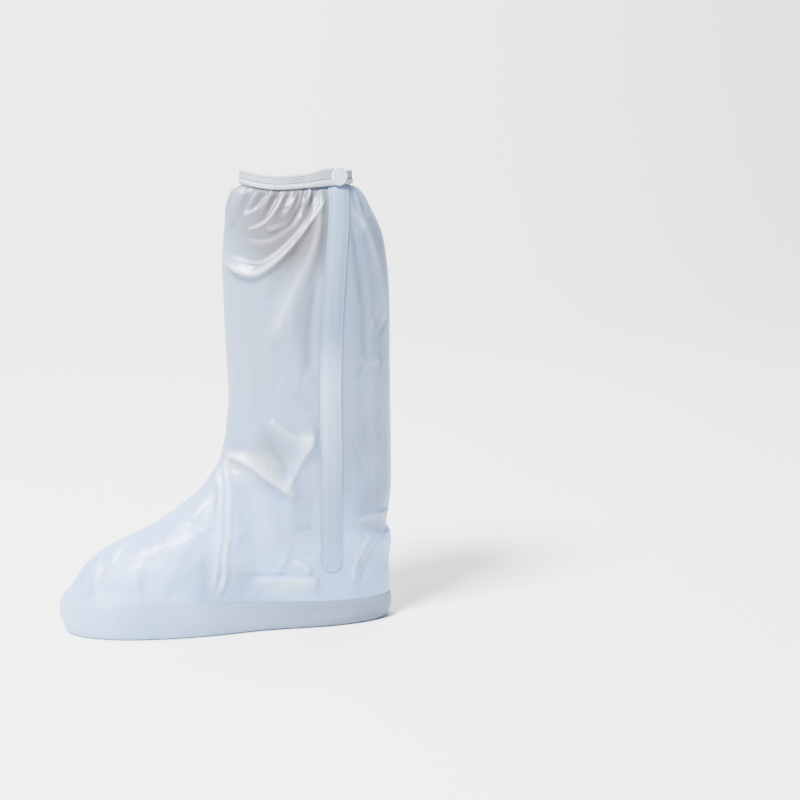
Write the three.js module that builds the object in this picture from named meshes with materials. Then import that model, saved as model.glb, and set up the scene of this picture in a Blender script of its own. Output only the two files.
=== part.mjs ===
// A high waterproof overshoe that is pulled on over a shoe: a thin vinyl film boot in two welded
// panels, set in a vinyl sole whose side turns up round the foot, with a gathered rim in a folded
// binding, a flap over the side opening, and a press snap that holds the binding's end.
// Millimetres, +Z up. The toe points to -X and the side with the opening faces -Y.
// The origin is on the floor, under the middle of the whole cover.
import * as THREE from "three";

// Overall sizes
const BOOT_HEIGHT = 412; // floor to the top of the binding
const FOOT_LENGTH = 309; // toe to heel, over the sole
const SOLE_WIDTH = 104; // across the ball of the foot, over the sole
const INSTEP_HEIGHT = 180; // where the slope of the instep has become the shaft
const SHAFT_DEPTH = 152; // front to back of the shaft
const SHAFT_WIDTH = 108; // side to side of the shaft at the calf
const RIM_DEPTH = 99; // front to back over the binding
const RIM_WIDTH = 82; // side to side over the binding
const TOE_SWING = 6; // how far the toe leans to the inner side of the foot
const RIM_DIP = 4; // how far the rim sags on its front quarter, on the side with the opening
const RIM_DIP_INNER = 7; // how far it sags on the other side

// Walls and clearances
const FILM = 1.2;
const GAP = 0.3; // between two pieces that lie against each other
const CURVED_GAP = 0.45; // the same where one of them has wider facets

// Sole
const FOXING_HEIGHT = 34; // how far the sole's side turns up round the toes
const FOXING_HEEL = 23; // and at the heel
const FOXING_WALL = 1.8;
const SOLE_THICKNESS = 3;
const SOLE_ROUND = 4.5; // rounding between the side and the underside

// Binding and snap
const BINDING_HEIGHT = 12.7;
const BINDING_LEG = 1.4; // each side of the folded tape
const BINDING_ROOF = 2; // film edge to the top of the fold
const TAB_LENGTH = 27; // from its far end to the snap's middle
const TAB_REACH = 9.5; // from the snap's middle to the tab's free end
const TAB_HEIGHT = 15.5;
const TAB_THICKNESS = 1.3;
const SNAP_DIAMETER = 16;
const SNAP_THICKNESS = 2.6;
const SOCKET_DIAMETER = 12;
const SOCKET_THICKNESS = 2;
const SNAP_PLACE = 0.79; // share of the rim's depth, from its front, on the outer side

// Flap over the side opening
const FLAP_WIDTH = 20;
const FLAP_THICKNESS = 1.2;
const FLAP_FOOT_SHARE = 0.283; // height of its rounded lower end, as a share of INSTEP_HEIGHT

// Gathers below the binding
const GATHER_COUNT = 22;
const GATHER_HEIGHT = 1.9;
const GATHER_REACH = 62; // how far down they fade out
const GATHER_START = 9; // how far below the binding they are fullest
const GATHER_LEAN = 0.34; // turn of the gathers towards the front, in radians, over their reach

// Where the film starts to fold: how far it is smooth from the sole, the binding and the flap
const FREE_OF_SOLE = 14;
const FREE_OF_BINDING = 4;
const FREE_OF_FLAP = 9;

// Facets
const COLUMNS_AHEAD = 14; // of the flap, on its side of the cover
const COLUMNS_ACROSS = 4; // under the flap
const COLUMNS_BEHIND = 9;
const COLUMNS = 2 * (COLUMNS_AHEAD + COLUMNS_ACROSS + COLUMNS_BEHIND);
const SNAP_SIDES = 24;

const FILM_FOOT_LENGTH = FOOT_LENGTH - 2 * (FOXING_WALL + CURVED_GAP);
const FILM_SOLE_WIDTH = SOLE_WIDTH - 2 * (FOXING_WALL + CURVED_GAP);
const FILM_RIM_DEPTH = RIM_DEPTH - 2 * (BINDING_LEG + GAP);
const FILM_RIM_WIDTH = RIM_WIDTH - 2 * (BINDING_LEG + GAP);
const FILM_TOP = BOOT_HEIGHT - BINDING_ROOF;
const BINDING_FOOT = BOOT_HEIGHT - BINDING_HEIGHT;
const FLAP_FOOT = FLAP_FOOT_SHARE * INSTEP_HEIGHT;
const HEEL_X = FOOT_LENGTH / 2;

// Level sections of the film, from the floor up.
// h: height. It is 0 at the floor, 1 at INSTEP_HEIGHT, BINDING_LEVEL at the binding's lower edge
// and 2 at its upper edge.
// foot: share of the way from the shaft's depth and width to the foot's.
// rim: share of the way from the shaft's depth and width to the rim's.
// set: how far the back lies ahead of the heel, as a share of SHAFT_DEPTH.
// wide: width, as a share of what foot and rim give.
// at: where it is widest, as a share of its length from the front.
// nose, tail: how square the front and the back are (2 is an ellipse).
// waist: how far the sides draw in behind the ball of the foot, as a share of the width.
const BINDING_LEVEL = 1.9453;
const SECTIONS = [
  { h: 0.0, foot: 0.956, rim: 0, set: 0.031, wide: 0.95, at: 0.34, nose: 2.7, tail: 2.5, waist: 0.17 },
  { h: 0.089, foot: 1.0, rim: 0, set: 0.0144, wide: 1.0, at: 0.34, nose: 2.7, tail: 2.5, waist: 0.17 },
  { h: 0.139, foot: 0.993, rim: 0, set: 0.0144, wide: 0.99, at: 0.34, nose: 2.6, tail: 2.5, waist: 0.17 },
  { h: 0.189, foot: 0.963, rim: 0, set: 0.0144, wide: 0.97, at: 0.35, nose: 2.5, tail: 2.5, waist: 0.12 },
  { h: 0.239, foot: 0.927, rim: 0, set: 0.0144, wide: 0.936, at: 0.36, nose: 2.3, tail: 2.5, waist: 0.1 },
  { h: 0.289, foot: 0.891, rim: 0, set: 0.018, wide: 0.908, at: 0.39, nose: 2.2, tail: 2.4, waist: 0.09 },
  { h: 0.339, foot: 0.846, rim: 0, set: 0.012, wide: 0.88, at: 0.42, nose: 2.1, tail: 2.4, waist: 0.07 },
  { h: 0.389, foot: 0.783, rim: 0, set: 0.004, wide: 0.852, at: 0.46, nose: 2.0, tail: 2.4, waist: 0.05 },
  { h: 0.439, foot: 0.68, rim: 0, set: 0.01, wide: 0.83, at: 0.5, nose: 2.0, tail: 2.3, waist: 0.03 },
  { h: 0.489, foot: 0.515, rim: 0, set: 0.036, wide: 0.808, at: 0.53, nose: 2.0, tail: 2.3, waist: 0.01 },
  { h: 0.539, foot: 0.4, rim: 0, set: 0.036, wide: 0.793, at: 0.55, nose: 2.0, tail: 2.3, waist: 0 },
  { h: 0.589, foot: 0.328, rim: 0, set: 0.02, wide: 0.788, at: 0.55, nose: 2.0, tail: 2.2, waist: 0 },
  { h: 0.639, foot: 0.25, rim: 0, set: 0.014, wide: 0.784, at: 0.55, nose: 2.0, tail: 2.2, waist: 0 },
  { h: 0.689, foot: 0.178, rim: 0, set: 0.011, wide: 0.788, at: 0.54, nose: 2.0, tail: 2.2, waist: 0 },
  { h: 0.739, foot: 0.13, rim: 0, set: 0.011, wide: 0.795, at: 0.52, nose: 2.0, tail: 2.2, waist: 0 },
  { h: 0.839, foot: 0.056, rim: 0, set: 0.013, wide: 0.818, at: 0.51, nose: 2.0, tail: 2.1, waist: 0 },
  { h: 1.0, foot: 0.006, rim: 0, set: 0.02, wide: 0.872, at: 0.5, nose: 2.0, tail: 2.1, waist: 0 },
  { h: 1.15, foot: -0.016, rim: 0, set: 0.028, wide: 0.93, at: 0.5, nose: 2.0, tail: 2.1, waist: 0 },
  { h: 1.3, foot: -0.007, rim: 0, set: 0.033, wide: 0.975, at: 0.5, nose: 2.0, tail: 2.0, waist: 0 },
  { h: 1.45, foot: 0.0, rim: 0, set: 0.037, wide: 1.0, at: 0.5, nose: 2.0, tail: 2.0, waist: 0 },
  { h: 1.6, foot: 0.0, rim: 0.006, set: 0.051, wide: 1.01, at: 0.5, nose: 2.0, tail: 2.0, waist: 0 },
  { h: 1.735, foot: 0.0, rim: 0.115, set: 0.085, wide: 1.02, at: 0.5, nose: 2.0, tail: 2.05, waist: 0 },
  { h: 1.813, foot: 0.0, rim: 0.28, set: 0.133, wide: 1.03, at: 0.5, nose: 2.05, tail: 2.1, waist: 0 },
  { h: 1.852, foot: 0.0, rim: 0.4, set: 0.171, wide: 1.03, at: 0.5, nose: 2.1, tail: 2.2, waist: 0 },
  { h: 1.891, foot: 0.0, rim: 0.56, set: 0.208, wide: 1.03, at: 0.5, nose: 2.15, tail: 2.3, waist: 0 },
  { h: 1.915, foot: 0.0, rim: 0.69, set: 0.238, wide: 1.02, at: 0.5, nose: 2.2, tail: 2.5, waist: 0 },
  { h: 1.931, foot: 0.0, rim: 0.85, set: 0.266, wide: 1.01, at: 0.5, nose: 2.25, tail: 2.7, waist: 0 },
  { h: 1.942, foot: 0.0, rim: 1.0, set: 0.303, wide: 1.0, at: 0.5, nose: 2.3, tail: 2.9, waist: 0 },
  { h: 2.0, foot: 0.0, rim: 1.0, set: 0.303, wide: 1.0, at: 0.5, nose: 2.3, tail: 2.9, waist: 0 },
];
// The middle of the flap. h as above; set: how far ahead of the heel, as a share of SHAFT_DEPTH.
const FLAP_LINE = [
  { h: 0.0, set: 0.44 },
  { h: 0.4, set: 0.445 },
  { h: 0.85, set: 0.46 },
  { h: 1.26, set: 0.485 },
  { h: 1.64, set: 0.465 },
  { h: 1.83, set: 0.437 },
  { h: 2.0, set: 0.42 },
];

const WAIST_AT = 0.6; // share of a section's length, from its front
const WAIST_SPREAD = 0.17;

// The main folds of the film. side: -1 is the side with the opening, 1 the other.
// Each runs from a to c and bends towards b. A point is [t, h]: t is the share of that level's
// length from its front, and h the height as in SECTIONS.
// reach: half its breadth, as a share of SHAFT_DEPTH. lift: its height, as a share of the same.
const FOLDS = [
  // Two long folds that fall from the flap's top, the sling that the first one ends in, and two
  // short ones beside them
  { side: -1, a: [0.66, 1.92], b: [0.4, 1.8], c: [0.13, 1.6], reach: 0.055, lift: 0.03 },
  { side: -1, a: [0.27, 1.65], b: [0.12, 1.59], c: [-0.02, 1.66], reach: 0.06, lift: 0.026 },
  { side: -1, a: [0.64, 1.9], b: [0.47, 1.7], c: [0.27, 1.28], reach: 0.085, lift: 0.034 },
  { side: -1, a: [0.45, 1.94], b: [0.4, 1.83], c: [0.2, 1.77], reach: 0.045, lift: 0.024 },
  { side: -1, a: [0.3, 1.93], b: [0.26, 1.86], c: [0.14, 1.79], reach: 0.04, lift: 0.02 },
  // Hollow between the first two
  { side: -1, a: [0.4, 1.7], b: [0.32, 1.58], c: [0.2, 1.42], reach: 0.09, lift: -0.022 },
  // Ankle: a roll across the instep, the hollow below it and a peak behind them
  { side: -1, a: [0.0, 1.0], b: [0.2, 0.93], c: [0.4, 0.76], reach: 0.07, lift: 0.03 },
  { side: -1, a: [0.05, 0.88], b: [0.3, 0.82], c: [0.54, 0.56], reach: 0.05, lift: -0.028 },
  { side: -1, a: [0.1, 1.05], b: [0.32, 1.06], c: [0.5, 0.94], reach: 0.075, lift: 0.034 },
  // The upright pleat from the instep to the sole, and the tuck behind it above the sole
  { side: -1, a: [0.03, 0.88], b: [0.25, 0.57], c: [0.44, 0.19], reach: 0.032, lift: 0.022 },
  { side: -1, a: [0.44, 0.29], b: [0.56, 0.26], c: [0.74, 0.27], reach: 0.045, lift: 0.026 },
  // Heel: a short roll over the crease that runs forward and down from the back
  { side: -1, a: [1.0, 0.57], b: [0.95, 0.56], c: [0.88, 0.55], reach: 0.05, lift: 0.024 },
  { side: -1, a: [1.0, 0.5], b: [0.94, 0.4], c: [0.88, 0.22], reach: 0.035, lift: -0.022 },
  // Toe: a shallow ridge down the side of the toes
  { side: -1, a: [0.14, 0.52], b: [0.25, 0.4], c: [0.28, 0.22], reach: 0.07, lift: 0.014 },
  // The other side of the cover, with the slacker folds of the same kind
  { side: 1, a: [0.3, 1.9], b: [0.42, 1.72], c: [0.62, 1.5], reach: 0.08, lift: 0.03 },
  { side: 1, a: [0.66, 1.9], b: [0.7, 1.74], c: [0.8, 1.56], reach: 0.07, lift: 0.026 },
  { side: 1, a: [0.02, 1.0], b: [0.26, 1.02], c: [0.5, 0.86], reach: 0.08, lift: 0.036 },
  { side: 1, a: [0.1, 0.92], b: [0.3, 0.86], c: [0.56, 0.7], reach: 0.055, lift: -0.03 },
  { side: 1, a: [0.2, 0.84], b: [0.36, 0.6], c: [0.5, 0.28], reach: 0.06, lift: 0.026 },
  { side: 1, a: [0.99, 0.66], b: [0.94, 0.52], c: [0.9, 0.32], reach: 0.06, lift: 0.022 },
];
const FOLD_STEPS = 10;
const FOLD_FADE = 0.28; // share of a fold's length over which each end fades

const clamp01 = (v) => Math.min(1, Math.max(0, v));
const mix = (a, b, s) => a + (b - a) * s;
const smooth = (a, b, v) => {
  const s = clamp01((v - a) / (b - a));
  return s * s * (3 - 2 * s);
};

// A height in millimetres as the h of the tables, and back.
const shareOf = (z) => {
  if (z <= INSTEP_HEIGHT) return z / INSTEP_HEIGHT;
  if (z > BINDING_FOOT) return mix(BINDING_LEVEL, 2, (z - BINDING_FOOT) / BINDING_HEIGHT);
  return mix(1, BINDING_LEVEL, (z - INSTEP_HEIGHT) / (BINDING_FOOT - INSTEP_HEIGHT));
};
const heightOf = (h) => {
  if (h <= 1) return h * INSTEP_HEIGHT;
  if (h > BINDING_LEVEL) return mix(BINDING_FOOT, BOOT_HEIGHT, (h - BINDING_LEVEL) / (2 - BINDING_LEVEL));
  return mix(INSTEP_HEIGHT, BINDING_FOOT, (h - 1) / (BINDING_LEVEL - 1));
};

// One column of a table at height h, on a smooth curve through its rows.
function column(table, name, h) {
  const last = table.length - 2;
  let i = 0;
  while (i < last && h > table[i + 1].h) i += 1;
  const slopeAt = (k) => {
    const a = table[Math.max(0, k - 1)];
    const b = table[k];
    const c = table[Math.min(table.length - 1, k + 1)];
    const before = b === a ? 0 : (b[name] - a[name]) / (b.h - a.h);
    const after = c === b ? 0 : (c[name] - b[name]) / (c.h - b.h);
    return before * after <= 0 ? 0 : (2 * before * after) / (before + after);
  };
  const [lo, hi] = [table[i], table[i + 1]];
  const span = hi.h - lo.h;
  const s = clamp01((h - lo.h) / span);
  const s2 = s * s;
  const s3 = s2 * s;
  return (
    lo[name] * (2 * s3 - 3 * s2 + 1) +
    slopeAt(i) * span * (s3 - 2 * s2 + s) +
    hi[name] * (3 * s2 - 2 * s3) +
    slopeAt(i + 1) * span * (s3 - s2)
  );
}

// The section at height z, with its sizes in millimetres.
function sectionAt(z) {
  const h = shareOf(z);
  const foot = column(SECTIONS, "foot", h);
  const rim = column(SECTIONS, "rim", h);
  const sized = (shaft, footSize, rimSize) => shaft + foot * (footSize - shaft) + rim * (rimSize - shaft);
  const back = HEEL_X - column(SECTIONS, "set", h) * SHAFT_DEPTH;
  const length = sized(SHAFT_DEPTH, FILM_FOOT_LENGTH, FILM_RIM_DEPTH);
  return {
    front: back - length,
    length,
    half: (sized(SHAFT_WIDTH, FILM_SOLE_WIDTH, FILM_RIM_WIDTH) * column(SECTIONS, "wide", h)) / 2,
    at: column(SECTIONS, "at", h),
    nose: column(SECTIONS, "nose", h),
    tail: column(SECTIONS, "tail", h),
    waist: column(SECTIONS, "waist", h),
  };
}

// How much the rim's sag lowers a point at this turn and height.
function sag(theta, z) {
  const side = Math.sin(theta);
  const forward = 1 + Math.cos(theta);
  const outerDip = (RIM_DIP * side * side * forward * forward) / 1.7;
  const innerDip = RIM_DIP_INNER * side * side;
  return (side > 0 ? outerDip : innerDip) * smooth(1.72, 1.94, shareOf(z));
}

// A point of the smooth film. theta is 0 at the front, a quarter turn at the side with the
// opening and half a turn at the back.
function smoothFilm(theta, z) {
  const s = sectionAt(z);
  const t = (1 - Math.cos(theta)) / 2;
  const ahead = t < s.at;
  const q = ahead ? (s.at - t) / s.at : (t - s.at) / (1 - s.at);
  const n = ahead ? s.nose : s.tail;
  const bulge = Math.pow(Math.max(0, 1 - Math.pow(Math.abs(q), n)), 1 / n);
  const waist = 1 - s.waist * Math.exp(-(((t - WAIST_AT) / WAIST_SPREAD) ** 2));
  const x = s.front + t * s.length;
  const toeward = clamp01((HEEL_X - SHAFT_DEPTH - x) / (FOOT_LENGTH - SHAFT_DEPTH));
  const side = Math.sin(theta) >= 0 ? -1 : 1;
  return new THREE.Vector3(x, side * s.half * bulge * waist + TOE_SWING * toeward ** 2, z - sag(theta, z));
}

// The outward normal of the smooth film.
function filmNormal(theta, z) {
  const turn = 0.01;
  const rise = 0.8;
  const around = smoothFilm(theta + turn, z).sub(smoothFilm(theta - turn, z));
  const up = smoothFilm(theta, z + rise).sub(smoothFilm(theta, z - rise));
  return around.cross(up).normalize();
}

// The flap's middle at height z.
function flapX(z) {
  return HEEL_X - column(FLAP_LINE, "set", shareOf(z)) * SHAFT_DEPTH;
}

// The turn at which the side with the opening has this x at height z.
function turnAt(x, z) {
  const s = sectionAt(z);
  return Math.acos(1 - 2 * clamp01((x - s.front) / s.length));
}

// Each fold as points in the side view, with the share of its length at each.
const foldLines = FOLDS.map((fold) => {
  const points = [];
  for (let i = 0; i <= FOLD_STEPS; i += 1) {
    const s = i / FOLD_STEPS;
    const [t, h] = [0, 1].map((k) => mix(mix(fold.a[k], fold.b[k], s), mix(fold.b[k], fold.c[k], s), s));
    const z = heightOf(h);
    const at = sectionAt(z);
    points.push({ x: at.front + t * at.length, z, s });
  }
  return { ...fold, points };
});

// How far one fold lifts a point of its side.
function foldLift(line, x, z) {
  let nearest = Infinity;
  let along = 0;
  for (let i = 0; i < FOLD_STEPS; i += 1) {
    const [p, q] = [line.points[i], line.points[i + 1]];
    const [dx, dz] = [q.x - p.x, q.z - p.z];
    const s = clamp01(((x - p.x) * dx + (z - p.z) * dz) / (dx * dx + dz * dz));
    const away = Math.hypot(x - p.x - s * dx, z - p.z - s * dz);
    if (away < nearest) {
      nearest = away;
      along = mix(p.s, q.s, s);
    }
  }
  const reach = line.reach * SHAFT_DEPTH;
  const ends = smooth(0, FOLD_FADE, along) * smooth(0, FOLD_FADE, 1 - along);
  return line.lift * SHAFT_DEPTH * Math.exp(-((nearest / reach) ** 2)) * ends;
}

// How far the gathers lift a point. Their pitch varies, and they lean as they fall.
function gatherLift(theta, z) {
  const below = BINDING_FOOT - z;
  if (below < 0 || below > GATHER_REACH) return 0;
  const fade = smooth(0, GATHER_START, below) * (1 - smooth(GATHER_START, GATHER_REACH, below));
  const turn = theta + (GATHER_LEAN * below * Math.sin(theta)) / GATHER_REACH;
  const wave = Math.cos(GATHER_COUNT * turn + 1.3 * Math.sin(3 * turn + 0.8) + 0.9 * Math.sin(5 * turn));
  return GATHER_HEIGHT * fade * wave;
}

// How freely the film folds here: not at all under the flap or inside the sole and the binding.
function looseness(theta, p) {
  const fromSole = smooth(FOXING_HEIGHT, FOXING_HEIGHT + FREE_OF_SOLE, p.z);
  const fromRim = smooth(0, FREE_OF_BINDING, BINDING_FOOT - p.z);
  if (Math.sin(theta) < 0) return fromSole * fromRim;
  const fromFlap = Math.abs(p.x - flapX(p.z)) - FLAP_WIDTH / 2;
  const beside = p.z > FLAP_FOOT - FLAP_WIDTH ? smooth(CURVED_GAP, FREE_OF_FLAP, fromFlap) : 1;
  return fromSole * fromRim * beside;
}

// A point of the folded film, pushed out by offset along its normal.
function film(theta, z, offset = 0) {
  const p = smoothFilm(theta, z);
  const side = Math.sin(theta) >= 0 ? -1 : 1;
  const fromSeam = smooth(0, 0.4, Math.abs(Math.sin(theta)));
  let lift = gatherLift(theta, z);
  for (const line of foldLines) if (line.side === side) lift += foldLift(line, p.x, z) * fromSeam;
  return p.addScaledVector(filmNormal(theta, z), lift * looseness(theta, p) + offset);
}

// A point of the smooth film, pushed out level so that a wall of that thickness lies outside it.
function pushedLevel(theta, z, offset) {
  const n = filmNormal(theta, z);
  const level = Math.hypot(n.x, n.y);
  return smoothFilm(theta, z).add(new THREE.Vector3(n.x, n.y, 0).multiplyScalar(offset / level ** 2));
}

// Collects triangles and makes them one geometry.
class Skin {
  constructor() {
    this.positions = [];
  }

  triangle(a, b, c) {
    for (const p of [a, b, c]) this.positions.push(p.x, p.y, p.z);
  }

  quad(a, b, c, d) {
    this.triangle(a, b, c);
    this.triangle(a, c, d);
  }

  geometry() {
    const made = new THREE.BufferGeometry();
    made.setAttribute("position", new THREE.Float32BufferAttribute(this.positions, 3));
    made.computeVertexNormals();
    return made;
  }
}

// A solid between two sheets of points, outer[i][j] and inner[i][j], with i upwards and j round.
function slab(outer, inner) {
  const skin = new Skin();
  const rows = outer.length - 1;
  const columns = outer[0].length - 1;
  for (let i = 0; i < rows; i += 1) {
    for (let j = 0; j < columns; j += 1) {
      skin.quad(outer[i][j], outer[i][j + 1], outer[i + 1][j + 1], outer[i + 1][j]);
      skin.quad(inner[i][j], inner[i + 1][j], inner[i + 1][j + 1], inner[i][j + 1]);
    }
    skin.quad(inner[i][0], outer[i][0], outer[i + 1][0], inner[i + 1][0]);
    skin.quad(outer[i][columns], inner[i][columns], inner[i + 1][columns], outer[i + 1][columns]);
  }
  for (let j = 0; j < columns; j += 1) {
    skin.quad(inner[0][j], inner[0][j + 1], outer[0][j + 1], outer[0][j]);
    skin.quad(outer[rows][j], outer[rows][j + 1], inner[rows][j + 1], inner[rows][j]);
  }
  return skin.geometry();
}

// A ring of closed rows of points, where each row goes once round the cover. With caps, the first
// and the last row are closed by bars between the two sides, and otherwise the last meets the first.
function ring(rows, capped) {
  const skin = new Skin();
  const count = rows[0].length;
  const bands = capped ? rows.length - 1 : rows.length;
  for (let i = 0; i < bands; i += 1) {
    const [low, high] = [rows[i], rows[(i + 1) % rows.length]];
    for (let j = 0; j < count; j += 1) {
      const k = (j + 1) % count;
      skin.quad(low[j], low[k], high[k], high[j]);
    }
  }
  if (capped) {
    const [first, last] = [rows[0], rows[rows.length - 1]];
    for (let j = 0; j < count / 2; j += 1) {
      const [a, b, c, d] = [j, j + 1, count - j - 1, (count - j) % count];
      if (a !== d) {
        skin.triangle(first[a], first[d], first[b]);
        skin.triangle(last[a], last[b], last[d]);
      }
      if (b !== c) {
        skin.triangle(first[b], first[d], first[c]);
        skin.triangle(last[b], last[c], last[d]);
      }
    }
  }
  return skin.geometry();
}

// The turns of the columns at height z. Some of them run down the edges of the flap, so that the
// flap and the film have the same facets.
function turnsAt(z) {
  const ahead = turnAt(flapX(z) - FLAP_WIDTH / 2, z);
  const behind = turnAt(flapX(z) + FLAP_WIDTH / 2, z);
  const turns = [];
  for (let j = 0; j < COLUMNS_AHEAD; j += 1) turns.push((ahead * j) / COLUMNS_AHEAD);
  for (let j = 0; j < COLUMNS_ACROSS; j += 1) {
    turns.push(turnAt(flapX(z) + FLAP_WIDTH * (j / COLUMNS_ACROSS - 0.5), z));
  }
  for (let j = 0; j < COLUMNS_BEHIND; j += 1) turns.push(mix(behind, Math.PI, j / COLUMNS_BEHIND));
  for (let j = 0; j < COLUMNS / 2; j += 1) turns.push(Math.PI * (1 + (2 * j) / COLUMNS));
  return turns;
}

function piece(name, geometry, colour, roughness, opacity = 1) {
  const material = new THREE.MeshStandardMaterial({
    color: new THREE.Color(...colour),
    roughness,
    metalness: 0,
    opacity,
    transparent: opacity < 1,
  });
  const mesh = new THREE.Mesh(geometry, material);
  mesh.name = name;
  return mesh;
}

const FILM_COLOUR = [0.74, 0.81, 0.88];
const SOLE_COLOUR = [0.7, 0.78, 0.86];
const TAPE_COLOUR = [0.85, 0.88, 0.89];

// The height of the sole's side at each column.
const sideHeights = turnsAt(FOXING_HEIGHT / 2).map((theta) => {
  const { x } = smoothFilm(theta, FOXING_HEIGHT / 2);
  return mix(FOXING_HEIGHT, FOXING_HEEL, smooth(-0.5, 0.5, x / FOOT_LENGTH));
});
const LIP = FOXING_WALL * 0.3;

// The heights of one row's columns: this far above that share of the sole's side.
const rowHeights = ({ up, share }) => sideHeights.map((height) => up + share * height);

// The film's rows, closest together where it slopes and where it is gathered.
function filmRows() {
  const inSole = [
    { up: SOLE_THICKNESS + GAP, share: 0 },
    { up: 0, share: 0.5 },
    { up: -LIP, share: 1 },
  ];
  const overFoot = [0.25, 0.31, 0.37, 0.42, 0.465, 0.51, 0.555, 0.6, 0.65, 0.7, 0.76, 0.83, 0.91, 1.0];
  const shaft = [1.09, 1.18, 1.28, 1.37, 1.46, 1.55, 1.62, 1.68];
  const gathered = [56, 47, 38, 30, 23, 16.5, 10.5, 6, 2.5, GAP];
  const heights = [
    ...overFoot.map(heightOf),
    ...shaft.map(heightOf),
    ...gathered.map((below) => BINDING_FOOT - below),
    FILM_TOP,
  ];
  return [...inSole, ...heights.map((up) => ({ up, share: 0 }))];
}

// One of the two film panels, from the front seam to the back seam on its side.
function panel(side) {
  const half = COLUMNS / 2;
  const first = side < 0 ? 0 : half;
  const sheet = (offset) =>
    filmRows().map((row) => {
      const heights = rowHeights(row);
      const points = heights.map((z, j) => film(turnsAt(z)[j], z, offset));
      points.push(points[0].clone());
      const own = points.slice(first, first + half + 1);
      for (const j of [0, half]) {
        const k = (first + j) % COLUMNS;
        own[j].y = smoothFilm(turnsAt(heights[k])[k], heights[k]).y + (side * GAP) / 2;
      }
      return own;
    });
  return slab(sheet(0), sheet(-FILM));
}

// The sole: a flat underside and a side that turns up outside the film, lower towards the heel.
function sole() {
  const out = CURVED_GAP + FOXING_WALL;
  const profile = [
    { offset: out - SOLE_ROUND, up: 0, share: 0 },
    { offset: out - SOLE_ROUND * 0.3, up: SOLE_ROUND * 0.3, share: 0 },
    { offset: out, up: SOLE_ROUND, share: 0 },
    { offset: out, up: 0, share: 0.5 },
    { offset: out, up: -LIP, share: 1 },
    { offset: out - LIP, up: 0, share: 1 },
    { offset: CURVED_GAP + LIP, up: 0, share: 1 },
    { offset: CURVED_GAP, up: -LIP, share: 1 },
    { offset: CURVED_GAP, up: 0, share: 0.5 },
    { offset: CURVED_GAP, up: SOLE_THICKNESS, share: 0 },
  ];
  const rows = profile.map(({ offset, up, share }) =>
    rowHeights({ up, share }).map((z, j) => pushedLevel(turnsAt(z)[j], z, offset)),
  );
  return ring(rows, true);
}

// The tape folded over the film's top edge.
function binding() {
  const outside = GAP + BINDING_LEG;
  const inside = -FILM - GAP - BINDING_LEG;
  const round = BINDING_LEG * 0.7;
  const profile = [
    { offset: GAP, z: BINDING_FOOT },
    { offset: outside - round * 0.4, z: BINDING_FOOT },
    { offset: outside, z: BINDING_FOOT + round },
    { offset: outside, z: BOOT_HEIGHT - round },
    { offset: outside - round, z: BOOT_HEIGHT },
    { offset: inside + round, z: BOOT_HEIGHT },
    { offset: inside, z: BOOT_HEIGHT - round },
    { offset: inside, z: BINDING_FOOT },
    { offset: -FILM - GAP, z: BINDING_FOOT },
    { offset: -FILM - GAP, z: FILM_TOP + GAP },
    { offset: GAP, z: FILM_TOP + GAP },
  ];
  return ring(
    profile.map(({ offset, z }) =>
      turnsAt(FILM_TOP).map((theta) => {
        const p = pushedLevel(theta, FILM_TOP, offset);
        p.z = z - sag(theta, FILM_TOP);
        return p;
      }),
    ),
    false,
  );
}

// A flat strip that lies on the smooth film and ends in a half circle at its lower end.
function flap() {
  const top = BINDING_FOOT - GAP;
  const radius = FLAP_WIDTH / 2;
  const across = [-1, -0.5, 0, 0.5, 1];
  const roundEnd = [1, 0.97, 0.88, 0.7, 0.4, 0].map((s) => FLAP_FOOT + radius * (1 - s));
  const heights = [
    ...roundEnd,
    ...filmRows()
      .map((row) => row.up)
      .filter((z) => z > FLAP_FOOT + radius + 6 && z < top - 1),
    top,
  ];
  const sheet = (offset) =>
    heights.map((z) => {
      const drop = clamp01((FLAP_FOOT + radius - z) / radius);
      const half = Math.max(radius * Math.sqrt(1 - drop * drop), radius * 0.16);
      return across.map((s) => {
        const theta = turnAt(flapX(z) + s * half, z);
        return film(theta, z, offset);
      });
    });
  return slab(sheet(CURVED_GAP + FLAP_THICKNESS), sheet(CURVED_GAP));
}

// The binding's overlapping end: a strip on the outside of the binding, round at the snap.
const tabMiddle = BINDING_FOOT + TAB_HEIGHT / 2;
const snapTurn = turnAt(
  sectionAt(FILM_TOP).front + SNAP_PLACE * sectionAt(FILM_TOP).length,
  FILM_TOP,
);

// A point on the outside of the binding at this distance along the rim from the snap.
function alongRim(distance, z, offset) {
  const step = 0.02;
  const speed = smoothFilm(snapTurn + step, FILM_TOP).distanceTo(smoothFilm(snapTurn - step, FILM_TOP)) / (2 * step);
  const theta = snapTurn + distance / speed;
  const p = pushedLevel(theta, FILM_TOP, offset);
  p.z = z - sag(theta, FILM_TOP);
  return p;
}

function tab() {
  const radius = TAB_HEIGHT / 2;
  const straight = TAB_REACH - radius;
  const along = [];
  for (let i = 0; i <= 4; i += 1) along.push(mix(-TAB_LENGTH, straight, i / 4));
  for (const angle of [22, 42, 60, 75, 86]) along.push(straight + radius * Math.sin((angle * Math.PI) / 180));
  const rows = [-1, -0.5, 0, 0.5, 1];
  // Its upper edge meets the binding's at the far end, and its free end is half round.
  const topAt = (distance) => mix(BINDING_HEIGHT / 2, radius, smooth(-TAB_LENGTH, -TAB_LENGTH * 0.4, distance));
  const sheet = (offset) =>
    rows.map((s) =>
      along.map((distance) => {
        const past = Math.max(0, distance - straight);
        const half = distance > straight ? Math.sqrt(radius ** 2 - past ** 2) : topAt(distance);
        const middle = distance > straight ? tabMiddle : BINDING_FOOT + half;
        return alongRim(distance, middle + s * half, offset);
      }),
    );
  const under = GAP + BINDING_LEG + CURVED_GAP;
  return slab(sheet(under + TAB_THICKNESS), sheet(under));
}

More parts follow.
